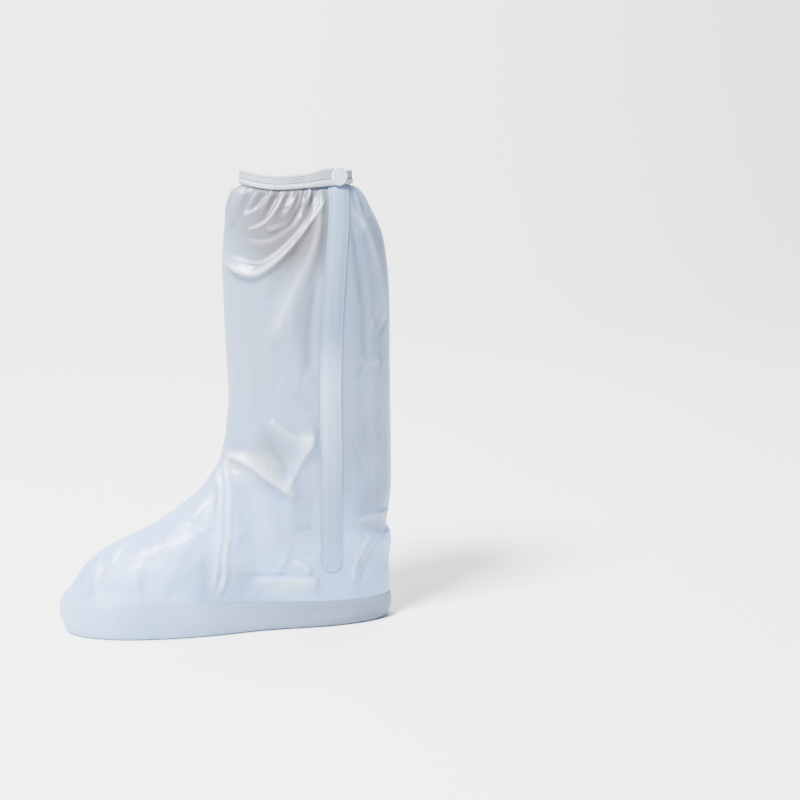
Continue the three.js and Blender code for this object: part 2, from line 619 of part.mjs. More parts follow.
// A round piece with its axis along the rim's normal at the snap, whose back is at this offset.
function roundOnRim(geometry, offset, outward) {
  const n = filmNormal(snapTurn, FILM_TOP).setZ(0).normalize().multiplyScalar(outward);
  geometry.applyQuaternion(new THREE.Quaternion().setFromUnitVectors(new THREE.Vector3(0, 1, 0), n));
  const p = alongRim(0, tabMiddle, offset);
  geometry.translate(p.x, p.y, p.z);
  return geometry;
}

// A turned profile of [radius, height] pairs that starts and ends on the axis.
const turned = (profile) =>
  new THREE.LatheGeometry(
    profile.map(([r, y]) => new THREE.Vector2(r, y)),
    SNAP_SIDES,
  );

function snapCap() {
  const r = SNAP_DIAMETER / 2;
  const t = SNAP_THICKNESS;
  const profile = [
    [0, 0],
    [r * 0.9, 0],
    [r, t * 0.25],
    [r, t * 0.6],
    [r * 0.93, t * 0.86],
    [r * 0.8, t],
    [r * 0.68, t * 0.92],
    [r * 0.3, t * 0.86],
    [0, t * 0.84],
  ];
  return roundOnRim(turned(profile), GAP + BINDING_LEG + CURVED_GAP + TAB_THICKNESS + GAP, 1);
}

function snapSocket() {
  const r = SOCKET_DIAMETER / 2;
  const t = SOCKET_THICKNESS;
  const profile = [
    [0, 0],
    [r * 0.92, 0],
    [r, t * 0.3],
    [r * 0.9, t],
    [r * 0.5, t],
    [r * 0.42, t * 0.5],
    [0, t * 0.5],
  ];
  const hollow = r ** 2 / RIM_WIDTH; // how far the curved rim comes in behind the flat disc
  return roundOnRim(turned(profile), -FILM - GAP - BINDING_LEG - GAP - hollow, -1);
}

const cover = new THREE.Group();
cover.add(
  piece("lateral_panel", panel(-1), FILM_COLOUR, 0.3, 0.7),
  piece("medial_panel", panel(1), FILM_COLOUR, 0.3, 0.7),
  piece("sole", sole(), SOLE_COLOUR, 0.45),
  piece("rim_binding", binding(), TAPE_COLOUR, 0.8),
  piece("binding_tab", tab(), TAPE_COLOUR, 0.8),
  piece("snap_cap", snapCap(), TAPE_COLOUR, 0.35),
  piece("snap_socket", snapSocket(), TAPE_COLOUR, 0.35),
  piece("zip_flap", flap(), FILM_COLOUR, 0.3, 0.8),
);

// Puts the middle of the whole cover over the origin.
const bounds = new THREE.Box3().setFromObject(cover);
cover.position.set(-(bounds.min.x + bounds.max.x) / 2, -(bounds.min.y + bounds.max.y) / 2, -bounds.min.z);

export default cover;
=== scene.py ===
"""The looks of a high waterproof overshoe: milky vinyl film gathered into an elastic binding.

The film is one smooth surface, given by level sections, with folds and gathers laid on it.
Lengths are in millimetres until a mesh is made. The toe points to -X, and the side with the
opening and its flap faces -Y.
"""

import math
import random

import bpy
import numpy as np
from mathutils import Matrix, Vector


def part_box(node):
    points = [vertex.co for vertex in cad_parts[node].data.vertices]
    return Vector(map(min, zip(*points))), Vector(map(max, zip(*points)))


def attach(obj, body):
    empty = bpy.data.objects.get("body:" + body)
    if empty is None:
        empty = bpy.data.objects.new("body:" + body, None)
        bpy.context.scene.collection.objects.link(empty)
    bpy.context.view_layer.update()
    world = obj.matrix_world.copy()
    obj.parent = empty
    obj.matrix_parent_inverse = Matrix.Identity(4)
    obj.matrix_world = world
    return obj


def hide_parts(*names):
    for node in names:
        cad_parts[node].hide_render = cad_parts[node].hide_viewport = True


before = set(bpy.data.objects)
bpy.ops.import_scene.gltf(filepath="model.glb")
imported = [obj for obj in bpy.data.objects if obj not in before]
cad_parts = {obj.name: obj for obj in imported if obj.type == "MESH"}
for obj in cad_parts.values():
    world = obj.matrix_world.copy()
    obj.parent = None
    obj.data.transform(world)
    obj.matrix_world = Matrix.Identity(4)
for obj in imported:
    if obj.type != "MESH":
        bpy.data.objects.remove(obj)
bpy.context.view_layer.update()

# Overall sizes
BOOT_HEIGHT = 412
FOOT_LENGTH = 309
SOLE_WIDTH = 104
INSTEP_HEIGHT = 180
SHAFT_DEPTH = 152
SHAFT_WIDTH = 108
RIM_DEPTH = 99
RIM_WIDTH = 82
TOE_SWING = 6
RIM_DIP = 4
RIM_DIP_INNER = 7
RIM_DIP_LEVELS = (1.72, 1.94)  # where the dip begins and where it is whole, as h in the tables

# Walls and clearances
FILM_WALL = 1.2  # of the solid film, which sets where the binding's inner side lies
FILM_SHOWN = 0.7
GAP = 0.3
CURVED_GAP = 0.45
SEAM_GAP = 0.05  # from each half of the film to the welds at the front and the back

# Sole
FOXING_HEIGHT = 34
FOXING_HEEL = 23
FOXING_WALL = 1.8
SOLE_THICKNESS = 3
SOLE_ROUND = 4.5
EMBOSS_PITCH = 2.3
EMBOSS_LEVEL = 20  # height at which the emboss runs evenly round the foot

# Binding, tab and snap
BINDING_HEIGHT = 12.7
BINDING_LEG = 1.4
BINDING_ROOF = 2
BINDING_SHOULDER = 0.9  # share of the height at which the tape bends over the rim
BINDING_EDGE = 0.02  # share of the height at which the tape's faces begin
ROLL_HEIGHT = 4.8
ROLL_BULGE = 1.15
ROLL_SINK = 0.25
RIB_COUNT = 6
RIB_DEPTH = 0.4
PUCKER = 0.16
FINE_PUCKER = 0.08
FINE_PUCKER_COUNT = 61
STITCH_PITCH = 2.4
STITCH_LENGTH = 1.5
STITCH_RADIUS = 0.26
TAB_LENGTH = 27
TAB_REACH = 9.5
TAB_HEIGHT = 15.5
TAB_THICKNESS = 1.3
SNAP_DIAMETER = 16
SNAP_THICKNESS = 2.6
SOCKET_DIAMETER = 12
SOCKET_THICKNESS = 2
SNAP_PLACE = 0.79  # share of the rim's length from its front

# Flap over the opening
FLAP_WIDTH = 20
FLAP_THICKNESS = 0.7
FLAP_FOOT = 51
FLAP_WELD = 0.2  # width of the flattened edge, as a share of half the flap's width
FLAP_HUMP = 0.7
FLAP_WELD_DEPTH = 0.3
FLAP_BRIM_DEPTH = 0.35

# Gathers
GATHER_COUNT = 27
GATHER_HEIGHT = 2.1
GATHER_REACH = 46
GATHER_START = 5
GATHER_LEAN = 0.42
GATHER_THICK_AND_SHADE = 0.3  # how much whiter their crests look, thicker film with a painted highlight, and how much darker their troughs, a painted shade, where a whole fold makes 1

# Waves that vary what repeats. A row (rate, start, size) is size * sin(rate * place + start).
PITCH_WAVES = [(3, 0.8, 1.3), (5, 0, 0.9)]
STRENGTH_WAVES = [(2, 0.4, 0.35), (7, 2, 0.25)]
PUCKER_WAVES = [(3, 0, 1.3)]
FLAP_WAVES = [(1 / 23, 0, 0.25), (1 / 9, 1, 0.16)]

# Where the film is held flat: how far from each edge it takes to fold freely
FREE_ABOVE_SOLE = 13
FREE_BELOW_BINDING = 3
FREE_BESIDE_FLAP = (0.5, 9)
FREE_UNDER_FLAP = 14
FREE_FROM_SEAM = 0.28  # as the sine of the turn

# Mesh fineness
PANEL_COLUMNS = 178
PANEL_ROWS = 256
CROWDED_REACH = 60  # under the binding, where the rows lie closer together
CROWDED_ROWS = 54
HIDDEN_ROWS = 6  # inside the binding
RING_COLUMNS = 420

FILM_FOOT_LENGTH = FOOT_LENGTH - 2 * (FOXING_WALL + CURVED_GAP)
FILM_SOLE_WIDTH = SOLE_WIDTH - 2 * (FOXING_WALL + CURVED_GAP)
FILM_RIM_DEPTH = RIM_DEPTH - 2 * (BINDING_LEG + GAP)
FILM_RIM_WIDTH = RIM_WIDTH - 2 * (BINDING_LEG + GAP)
FILM_TOP = BOOT_HEIGHT - BINDING_ROOF
BINDING_FOOT = BOOT_HEIGHT - BINDING_HEIGHT
HEEL_X = FOOT_LENGTH / 2

# Level sections of the film, from the floor up.
# h: height, as a share of INSTEP_HEIGHT up to 1, and above it 1 plus the share of what is left.
# foot, rim: share of the way from the shaft's size to the foot's, and to the rim's.
# back: how far the back lies ahead of the heel, as a share of SHAFT_DEPTH.
# wide: width, as a share of what foot and rim give.
# at: where it is widest, as a share of its length from the front.
# nose, tail: how square the front and the back are.
# waist: how far the sides draw in behind the ball of the foot, as a share of the width.
SECTION_COLUMNS = ("h", "foot", "rim", "back", "wide", "at", "nose", "tail", "waist")
SECTIONS = [
    (0, 0.956, 0, 0.031, 0.95, 0.34, 2.7, 2.5, 0.17),
    (0.089, 1, 0, 0.0144, 1, 0.34, 2.7, 2.5, 0.17),
    (0.139, 0.993, 0, 0.0144, 0.99, 0.34, 2.6, 2.5, 0.17),
    (0.189, 0.963, 0, 0.0144, 0.97, 0.35, 2.5, 2.5, 0.12),
    (0.239, 0.927, 0, 0.0144, 0.936, 0.36, 2.3, 2.5, 0.1),
    (0.289, 0.891, 0, 0.018, 0.908, 0.39, 2.2, 2.4, 0.09),
    (0.339, 0.846, 0, 0.012, 0.88, 0.42, 2.1, 2.4, 0.07),
    (0.389, 0.783, 0, 0.004, 0.852, 0.46, 2, 2.4, 0.05),
    (0.439, 0.68, 0, 0.01, 0.83, 0.5, 2, 2.3, 0.03),
    (0.489, 0.515, 0, 0.036, 0.808, 0.53, 2, 2.3, 0.01),
    (0.539, 0.4, 0, 0.036, 0.793, 0.55, 2, 2.3, 0),
    (0.589, 0.328, 0, 0.02, 0.788, 0.55, 2, 2.2, 0),
    (0.639, 0.25, 0, 0.014, 0.784, 0.55, 2, 2.2, 0),
    (0.689, 0.178, 0, 0.011, 0.788, 0.54, 2, 2.2, 0),
    (0.739, 0.13, 0, 0.011, 0.795, 0.52, 2, 2.2, 0),
    (0.839, 0.056, 0, 0.013, 0.818, 0.51, 2, 2.1, 0),
    (1, 0.006, 0, 0.02, 0.872, 0.5, 2, 2.1, 0),
    (1.15, -0.016, 0, 0.028, 0.93, 0.5, 2, 2.1, 0),
    (1.3, -0.007, 0, 0.033, 0.975, 0.5, 2, 2, 0),
    (1.45, 0, 0, 0.037, 1, 0.5, 2, 2, 0),
    (1.6, 0, 0.006, 0.051, 1.01, 0.5, 2, 2, 0),
    (1.735, 0, 0.115, 0.085, 1.02, 0.5, 2, 2.05, 0),
    (1.813, 0, 0.28, 0.133, 1.03, 0.5, 2.05, 2.1, 0),
    (1.852, 0, 0.4, 0.171, 1.03, 0.5, 2.1, 2.2, 0),
    (1.891, 0, 0.56, 0.208, 1.03, 0.5, 2.15, 2.3, 0),
    (1.915, 0, 0.69, 0.238, 1.02, 0.5, 2.2, 2.5, 0),
    (1.931, 0, 0.85, 0.266, 1.01, 0.5, 2.25, 2.7, 0),
    (1.942, 0, 1, 0.303, 1, 0.5, 2.3, 2.9, 0),
    (2, 0, 1, 0.303, 1, 0.5, 2.3, 2.9, 0),
]
WAIST_AT = 0.6
WAIST_SPREAD = 0.17

# The middle of the flap: [h, how far it lies ahead of the heel], as a share of SHAFT_DEPTH.
FLAP_LINE = [
    (0, 0.44), (0.4, 0.445), (0.85, 0.46), (1.26, 0.485), (1.64, 0.465), (1.83, 0.437), (2, 0.42),
]

# The folds of the film on the side with the opening, and on the other side.
# tilt: the crest's height as a share of the greater breadth, or a hollow's where it is below 0.
# form: FACET is a crest between flat faces, and ROUND a soft swell.
# over: breadth above the crest, or ahead of an upright one, as a share of SHAFT_DEPTH. Two
# numbers stand for the line's start and its end.
# under: the same on the other side.
# line: points [t, h] of the crest, where t is the share of that level's length from its front.
FACET = 0
ROUND = 1
FOLD_COLUMNS = ("tilt", "form", "over", "under", "line")
OUTER_FOLDS = [
    # The long fold from the flap's top, the sling that it ends in, and the hollow above it
    (0.75, FACET, (0.01, 0.085), (0.01, 0.014), [
        (0.66, 1.93), (0.6, 1.89), (0.45, 1.805), (0.34, 1.722), (0.25, 1.662), (0.16, 1.617),
        (0.1, 1.612), (0.04, 1.632), (-0.02, 1.67)]),
    (0.5, FACET, (0.012, 0.016), (0.008, 0.012), [
        (0.56, 1.885), (0.45, 1.826), (0.34, 1.75), (0.25, 1.695), (0.17, 1.66), (0.08, 1.664),
        (0.0, 1.69)]),
    (-0.26, ROUND, (0.03, 0.06), (0.03, 0.05), [
        (0.6, 1.93), (0.46, 1.878), (0.32, 1.81), (0.2, 1.755), (0.04, 1.765)]),
    # The second long fold, with its broad face ahead and the hollow behind it
    (0.3, FACET, (0.03, 0.1), (0.03, 0.12), [
        (0.63, 1.93), (0.591, 1.885), (0.534, 1.821), (0.484, 1.748), (0.427, 1.662), (0.352, 1.58),
        (0.309, 1.52), (0.25, 1.42), (0.18, 1.3)]),
    (-0.32, ROUND, (0.05, 0.06), (0.05, 0.06), [
        (0.56, 1.66), (0.48, 1.557), (0.445, 1.482), (0.43, 1.406), (0.42, 1.32), (0.42, 1.22)]),
    (-0.14, ROUND, (0.05, 0.07), (0.05, 0.07), [(0.42, 1.77), (0.33, 1.66), (0.26, 1.58), (0.18, 1.5)]),
    # Short folds that hang from the binding
    (0.42, FACET, (0.014, 0.04), (0.01, 0.02), [
        (0.46, 1.97), (0.43, 1.91), (0.38, 1.855), (0.32, 1.81), (0.24, 1.785), (0.18, 1.775)]),
    (0.5, FACET, (0.012, 0.022), (0.01, 0.02), [
        (0.31, 1.97), (0.27, 1.89), (0.2, 1.825), (0.14, 1.795), (0.08, 1.78)]),
    (0.45, FACET, (0.012, 0.02), (0.01, 0.016), [(0.2, 1.97), (0.17, 1.9), (0.12, 1.86), (0.07, 1.84)]),
    (0.5, FACET, 0.014, 0.012, [(0.38, 1.97), (0.355, 1.91), (0.32, 1.875)]),
    (0.5, FACET, 0.014, 0.012, [(0.53, 1.97), (0.505, 1.92), (0.47, 1.875)]),
    (0.5, FACET, 0.012, 0.01, [(0.58, 1.97), (0.56, 1.92), (0.53, 1.88)]),
    (-0.7, FACET, 0.03, 0.014, [(0.08, 1.93), (0.055, 1.87), (0.02, 1.8), (-0.01, 1.74)]),
    # Across the instep: a bright roll with the crease under it
    (0.42, FACET, (0.07, 0.09), (0.022, 0.024), [
        (0.0, 0.875), (0.04, 0.87), (0.09, 0.855), (0.17, 0.82), (0.27, 0.765), (0.37, 0.715),
        (0.46, 0.65)]),
    (-0.2, ROUND, 0.02, (0.05, 0.07), [
        (0.05, 0.83), (0.09, 0.82), (0.18, 0.78), (0.27, 0.735), (0.38, 0.68), (0.44, 0.63)]),
    # The peak behind the roll: its ridge falls to a point beside the flap
    (0.24, FACET, (0.02, 0.018), 0.1, [
        (0.18, 1.05), (0.242, 1.038), (0.311, 1.005), (0.389, 0.985), (0.49, 0.985)]),
    (-0.3, ROUND, (0.045, 0.03), (0.045, 0.03), [
        (0.16, 1.05), (0.2, 0.98), (0.25, 0.91), (0.301, 0.85), (0.36, 0.775)]),
    (0.3, FACET, (0.03, 0.13), (0.018, 0.02), [
        (0.37, 0.69), (0.382, 0.76), (0.39, 0.83), (0.42, 0.905), (0.465, 0.99), (0.49, 1.04)]),
    (-0.16, ROUND, 0.05, 0.03, [(0.3, 1.16), (0.42, 1.11), (0.54, 1.08)]),
    # The upright pleat from the instep down to the sole, in two close ridges
    (0.85, FACET, (0.014, 0.028), (0.016, 0.026), [
        (0.16, 0.825), (0.1, 0.862), (0.05, 0.878), (0.031, 0.86), (0.031, 0.81), (0.093, 0.719),
        (0.232, 0.571), (0.352, 0.446), (0.418, 0.318), (0.422, 0.228), (0.404, 0.12)]),
    (0.7, FACET, (0.024, 0.03), (0.013, 0.022), [
        (0.0, 0.84), (0.01, 0.791), (0.075, 0.7), (0.208, 0.56), (0.325, 0.447), (0.388, 0.33),
        (0.396, 0.2)]),
    (-0.14, ROUND, 0.03, (0.06, 0.08), [(0.12, 0.76), (0.24, 0.62), (0.36, 0.5), (0.45, 0.36)]),
    # The tuck above the sole behind the pleat
    (0.3, FACET, 0.014, (0.08, 0.1), [
        (0.52, 0.275), (0.58, 0.268), (0.64, 0.262), (0.711, 0.25), (0.75, 0.255)]),
    (-0.3, ROUND, 0.014, 0.014, [(0.45, 0.302), (0.54, 0.294), (0.64, 0.288)]),
    (0.4, FACET, 0.018, 0.05, [(0.635, 0.35), (0.66, 0.34), (0.69, 0.318), (0.71, 0.29)]),
    (-0.1, ROUND, 0.06, 0.08, [(0.42, 0.8), (0.47, 0.7), (0.53, 0.6), (0.62, 0.47)]),
    # Along the vamp and over the toes
    (0.07, FACET, (0.16, 0.28), (0.05, 0.06), [(0.17, 0.52), (0.22, 0.44), (0.25, 0.34), (0.245, 0.16)]),
    (-0.14, ROUND, 0.04, 0.07, [(0.27, 0.2), (0.31, 0.3), (0.36, 0.42)]),
    (0.08, FACET, (0.08, 0.1), 0.06, [(0.09, 0.45), (0.13, 0.36), (0.15, 0.22)]),
    (0.16, FACET, (0.05, 0.06), (0.03, 0.04), [(0.0, 0.78), (0.015, 0.7), (0.06, 0.62), (0.1, 0.55)]),
    (0.4, FACET, 0.03, 0.014, [(0.0, 0.39), (0.03, 0.33), (0.06, 0.2)]),
    (0.4, FACET, 0.02, 0.012, [(0.01, 0.46), (0.03, 0.41), (0.05, 0.36)]),
    # Heel and back of the shaft
    (0.26, FACET, 0.02, 0.05, [(1.03, 0.557), (0.95, 0.557), (0.884, 0.557), (0.82, 0.54)]),
    (-0.2, FACET, (0.03, 0.04), (0.012, 0.014), [
        (1.01, 0.475), (0.95, 0.44), (0.915, 0.37), (0.892, 0.272), (0.872, 0.16)]),
    (0.3, FACET, 0.03, 0.014, [(0.9, 0.47), (0.865, 0.36), (0.85, 0.2)]),
    (0.24, FACET, 0.05, (0.02, 0.04), [
        (0.76, 1.93), (0.8, 1.84), (0.85, 1.74), (0.89, 1.58), (0.9, 1.4)]),
    (-0.18, ROUND, 0.04, 0.05, [(0.7, 1.9), (0.73, 1.75), (0.76, 1.5), (0.78, 1.2)]),
    (0.2, FACET, 0.03, 0.03, [(0.74, 1.3), (0.8, 1.26), (0.88, 1.28)]),
    (0.1, ROUND, 0.06, 0.06, [(0.86, 1.3), (0.82, 1.1), (0.84, 0.9), (0.86, 0.75)]),
    (-0.2, ROUND, 0.016, 0.016, [(0.52, 0.72), (0.66, 0.71), (0.8, 0.7)]),
    (-0.2, ROUND, 0.018, 0.018, [(0.55, 0.52), (0.7, 0.515), (0.86, 0.5)]),
]
INNER_FOLDS = [
    # Slacker folds of the same kind
    (0.4, FACET, (0.05, 0.1), (0.016, 0.04), [(0.26, 1.94), (0.36, 1.86), (0.48, 1.72), (0.62, 1.5)]),
    (0.35, FACET, (0.02, 0.05), (0.05, 0.09), [(0.7, 1.94), (0.72, 1.84), (0.75, 1.72), (0.82, 1.5)]),
    (0.5, FACET, 0.03, 0.02, [(0.5, 1.95), (0.54, 1.87), (0.6, 1.78)]),
    (0.4, FACET, (0.04, 0.07), (0.02, 0.04), [(0.12, 1.92), (0.18, 1.82), (0.28, 1.7), (0.36, 1.56)]),
    (0.4, FACET, 0.03, 0.03, [(0.86, 1.92), (0.87, 1.78), (0.9, 1.6)]),
    (0.36, FACET, (0.1, 0.08), 0.03, [(0.07, 0.94), (0.14, 0.93), (0.28, 0.88), (0.46, 0.78)]),
    (-0.3, ROUND, 0.03, 0.06, [(0.06, 0.88), (0.2, 0.83), (0.38, 0.74), (0.58, 0.64)]),
    (0.24, FACET, 0.03, (0.12, 0.16), [(0.08, 1.06), (0.22, 1.08), (0.38, 1.04), (0.56, 0.98)]),
    (0.6, FACET, 0.03, 0.03, [(0.1, 0.82), (0.22, 0.62), (0.36, 0.44), (0.44, 0.16)]),
    (0.22, FACET, (0.08, 0.1), 0.03, [(0.04, 0.76), (0.14, 0.6), (0.24, 0.46), (0.28, 0.2)]),
    (0.3, FACET, 0.02, 0.05, [(0.54, 0.3), (0.68, 0.28), (0.84, 0.28)]),
    (0.3, FACET, 0.03, 0.04, [(1.03, 0.557), (0.94, 0.555), (0.84, 0.53)]),
    (-0.4, FACET, 0.03, 0.02, [(0.99, 0.48), (0.94, 0.38), (0.9, 0.18)]),
    (0.16, ROUND, (0.08, 0.06), 0.05, [(0.4, 1.44), (0.5, 1.2), (0.56, 1.0)]),
]
CURVE_STEPS = 5  # straight pieces between two points of a fold's line
FOLD_FADE = 0.16  # share of a fold's length over which each end fades
BREADTH_GROWTH = 1.4  # how late the breadth changes from the start's to the end's
CREST_ROUNDING = 0.02
CREST_DENT = 0.08  # how much lower the crest lies than its two shoulders
FACET_TAIL = 0.8  # share of the breadth at which the flat face begins to fade out
ROUND_SPREAD = 0.75
FORWARD_LEAN = 0.3  # how far a line may lean back before its front counts as above it
# How strongly a fold's tilt sets its tone: thicker film with a painted highlight on a crest, a painted
# shade in a hollow
THICK_AND_SHADE_PER_TILT = 1.6
LEAST_THICK_AND_SHADE = 0.1

# Small random wrinkles
WRINKLE_COUNT = 90
WRINKLE_LEVELS = (0.25, 1.85)
WRINKLE_PLACES = (0.05, 0.95)
WRINKLE_LIFT = (0.2, 0.75)
WRINKLE_REACH = (1.6, 4.0)
WRINKLE_LENGTH = (10, 38)
WRINKLE_SLOPE = (70, 28)  # in degrees: the middle and the spread
WRINKLE_BEND = 0.25
WRINKLE_OVER = 1.6  # breadth above the crest, as a share of the one below it
WRINKLE_MARGIN = 12


def lerp(a, b, s):
    return a + (b - a) * s


def smooth(a, b, v):
    s = np.clip((v - a) / (b - a), 0, 1)
    return s * s * (3 - 2 * s)


def waves(table, place):
    return sum(size * np.sin(rate * place + start) for rate, start, size in table)


def share_of(z):
    """A height in millimetres as the h of the tables."""
    return np.interp(z, (0, INSTEP_HEIGHT, BOOT_HEIGHT), (0, 1, 2))


def height_of(h):
    return np.interp(h, (0, 1, 2), (0, INSTEP_HEIGHT, BOOT_HEIGHT))


def curve(table, column, h):
    """One column of a table at heights h, on a smooth curve through its rows."""
    rows = np.array(table, float)
    x = rows[:, 0]
    y = rows[:, column]
    steps = np.diff(y) / np.diff(x)
    before, after = steps[:-1], steps[1:]
    total = np.where(before * after > 0, before + after, 1)
    slopes = np.zeros(len(x))
    slopes[1:-1] = np.where(before * after > 0, 2 * before * after / total, 0)
    i = np.clip(np.searchsorted(x, h, side="right") - 1, 0, len(x) - 2)
    span = x[i + 1] - x[i]
    s = np.clip((h - x[i]) / span, 0, 1)
    start = y[i] * (2 * s**3 - 3 * s**2 + 1) + slopes[i] * span * (s**3 - 2 * s**2 + s)
    return start + y[i + 1] * (3 * s**2 - 2 * s**3) + slopes[i + 1] * span * (s**3 - s**2)


def section_at(z):
    """The level sections at heights z, with their sizes in millimetres."""
    h = share_of(z)
    got = {name: curve(SECTIONS, k, h) for k, name in enumerate(SECTION_COLUMNS)}

    def sized(shaft, foot, rim):
        return shaft + got["foot"] * (foot - shaft) + got["rim"] * (rim - shaft)

    got["length"] = sized(SHAFT_DEPTH, FILM_FOOT_LENGTH, FILM_RIM_DEPTH)
    got["front"] = HEEL_X - got["back"] * SHAFT_DEPTH - got["length"]
    got["half"] = sized(SHAFT_WIDTH, FILM_SOLE_WIDTH, FILM_RIM_WIDTH) * got["wide"] / 2
    return got


def sag(theta, z):
    """How much the rim's dip lowers a point. On the outer side it lies ahead of the middle."""
    outer_dip = RIM_DIP * np.sin(theta) ** 2 * (1 + np.cos(theta)) ** 2 / 1.7
    inner_dip = RIM_DIP_INNER * np.sin(theta) ** 2
    dip = np.where(np.sin(theta) > 0, outer_dip, inner_dip)
    return dip * smooth(*RIM_DIP_LEVELS, share_of(z))


def smooth_film(theta, z):
    """Points of the smooth film. theta is 0 at the front and a quarter turn on the outer side."""
    theta, z = np.broadcast_arrays(np.asarray(theta, float), np.asarray(z, float))
    s = section_at(z)
    t = (1 - np.cos(theta)) / 2
    ahead = t < s["at"]
    q = np.where(ahead, (s["at"] - t) / s["at"], (t - s["at"]) / (1 - s["at"]))
    n = np.where(ahead, s["nose"], s["tail"])
    bulge = np.maximum(0, 1 - np.abs(q) ** n) ** (1 / n)
    waist = 1 - s["waist"] * np.exp(-(((t - WAIST_AT) / WAIST_SPREAD) ** 2))
    x = s["front"] + t * s["length"]
    toeward = np.clip((HEEL_X - SHAFT_DEPTH - x) / (FOOT_LENGTH - SHAFT_DEPTH), 0, 1)
    side = np.where(np.sin(theta) >= 0, -1, 1)
    y = side * s["half"] * bulge * waist + TOE_SWING * toeward**2
    return np.stack([x, y, z - sag(theta, z)], axis=-1)


def unit(v):
    return v / np.maximum(np.linalg.norm(v, axis=-1, keepdims=True), 1e-9)


def film_normal(theta, z):
    turn, rise = 0.01, 0.8
    around = smooth_film(theta + turn, z) - smooth_film(theta - turn, z)
    up = smooth_film(theta, z + rise) - smooth_film(theta, z - rise)
    return unit(np.cross(around, up))


def pushed_level(theta, z, offset):
    """Points of the smooth film pushed out level, for a wall of that thickness outside it."""
    n = film_normal(theta, z)
    flat = n * np.array([1, 1, 0])
    level = np.sum(flat**2, axis=-1, keepdims=True)
    return smooth_film(theta, z) + flat / level * np.asarray(offset, float)[..., None]


def run_along(points):
    """The distance from the first point of a line to each of its points."""
    steps = np.linalg.norm(np.diff(points, axis=0), axis=1)
    return np.concatenate([[0], np.cumsum(steps)])


def flap_x(z):
    return HEEL_X - curve(FLAP_LINE, 1, share_of(z)) * SHAFT_DEPTH


def turn_at(x, z):
    """The turn at which the outer side has this x at height z."""
    s = section_at(z)
    return np.arccos(1 - 2 * np.clip((x - s["front"]) / s["length"], 0, 1))


def bent_line(points):
    """A smooth line through [t, h] points, as side-view points in millimetres."""
    p = np.array([points[0], *points, points[-1]], float)
    a, b, c, d = (p[k : len(p) - 3 + k, None] for k in range(4))
    s = np.arange(CURVE_STEPS)[:, None] / CURVE_STEPS
    squared = (2 * a - 5 * b + 4 * c - d) * s**2
    cubed = (3 * b - a - 3 * c + d) * s**3
    line = 0.5 * (2 * b + (c - a) * s + squared + cubed)
    line = np.append(line.reshape(-1, 2), p[-2:-1], axis=0)
    z = height_of(line[:, 1])
    s = section_at(z)
    return np.stack([s["front"] + line[:, 0] * s["length"], z], axis=-1)


def ridge(x, z, line, over, under, tilt, form):
    """One fold along a line in the side view, at points x, z: its lift, and its share of it."""
    nearest = np.full(x.shape, 1e9)
    signed = np.zeros(x.shape)
    along = np.zeros(x.shape)
    for i in range(len(line) - 1):
        p, q = line[i], line[i + 1]
        d = q - p
        s = np.clip(((x - p[0]) * d[0] + (z - p[1]) * d[1]) / max(d @ d, 1e-9), 0, 1)
        gx, gz = x - p[0] - s * d[0], z - p[1] - s * d[1]
        away = np.hypot(gx, gz)
        across = np.array([-d[1], d[0]]) / max(np.linalg.norm(d), 1e-9)
        if across[1] - FORWARD_LEAN * across[0] < 0:
            across = -across
        closer = away < nearest
        nearest = np.where(closer, away, nearest)
        signed = np.where(closer, gx * across[0] + gz * across[1], signed)
        along = np.where(closer, (i + s) / (len(line) - 1), along)
    grown = along**BREADTH_GROWTH
    over_here, under_here = lerp(*over, grown), lerp(*under, grown)
    u = nearest / np.where(signed > 0, over_here, under_here)
    if form == FACET:
        height = (1 - u + np.sqrt((1 - u) ** 2 + CREST_ROUNDING)) / 2
        height *= np.exp(-(np.maximum(u - FACET_TAIL, 0) ** 2) * 4)
        height *= 1 - CREST_DENT * np.exp(-((u / 0.1) ** 2))
    else:
        height = np.exp(-((u / ROUND_SPREAD) ** 2))
    height = height * smooth(0, FOLD_FADE, along) * smooth(0, FOLD_FADE, 1 - along)
    return tilt * np.maximum(over_here, under_here) * height, height


def fold_lift(side, x, z):
    """How far the folds lift the film, and their tone from 1 to -1: thicker film with a painted
    highlight on crests, a painted shade in hollows.
    """
    total, thick_and_shade = np.zeros(x.shape), np.zeros(x.shape)
    for row in OUTER_FOLDS if side < 0 else INNER_FOLDS:
        fold = dict(zip(FOLD_COLUMNS, row))
        over, under = (np.ones(2) * fold[k] * SHAFT_DEPTH for k in ("over", "under"))
        tilt = fold["tilt"]
        lift, height = ridge(x, z, bent_line(fold["line"]), over, under, tilt, fold["form"])
        total += lift
        look = min(1, abs(tilt) * THICK_AND_SHADE_PER_TILT + LEAST_THICK_AND_SHADE)
        thick_and_shade += height * math.copysign(look, tilt)
    return total, thick_and_shade


def wrinkle_lift(side, x, z):
    """Small wrinkles at random places, most of them running down and forward."""
    rng = random.Random(7 + side)
    total = np.zeros(x.shape)
    for _ in range(WRINKLE_COUNT):
        h = rng.uniform(*WRINKLE_LEVELS)
        t = rng.uniform(*WRINKLE_PLACES)
        length = rng.uniform(*WRINKLE_LENGTH)
        steep = math.radians(rng.gauss(*WRINKLE_SLOPE))
        bend = rng.uniform(-WRINKLE_BEND, WRINKLE_BEND)
        lift = rng.uniform(*WRINKLE_LIFT) * rng.choice((-1, 1, 1))
        reach = rng.uniform(*WRINKLE_REACH)
        z0 = float(height_of(h))
        s = section_at(z0)
        start = np.array([s["front"] + t * s["length"], z0])
        way = length * np.array([-math.cos(steep), -math.sin(steep)])
        off = bend * np.array([way[1], -way[0]])
        line = np.array([start + way * k + off * k * k for k in (0, 0.25, 0.5, 0.75, 1)])
        room = length + WRINKLE_MARGIN
        near = (np.abs(x - start[0]) < room) & (np.abs(z - start[1]) < room)
        if near.any():
            broad = reach * WRINKLE_OVER
            edges = (broad, broad), (reach, reach)
            total[near] += ridge(x[near], z[near], line, *edges, lift / broad, ROUND)[0]
    return total


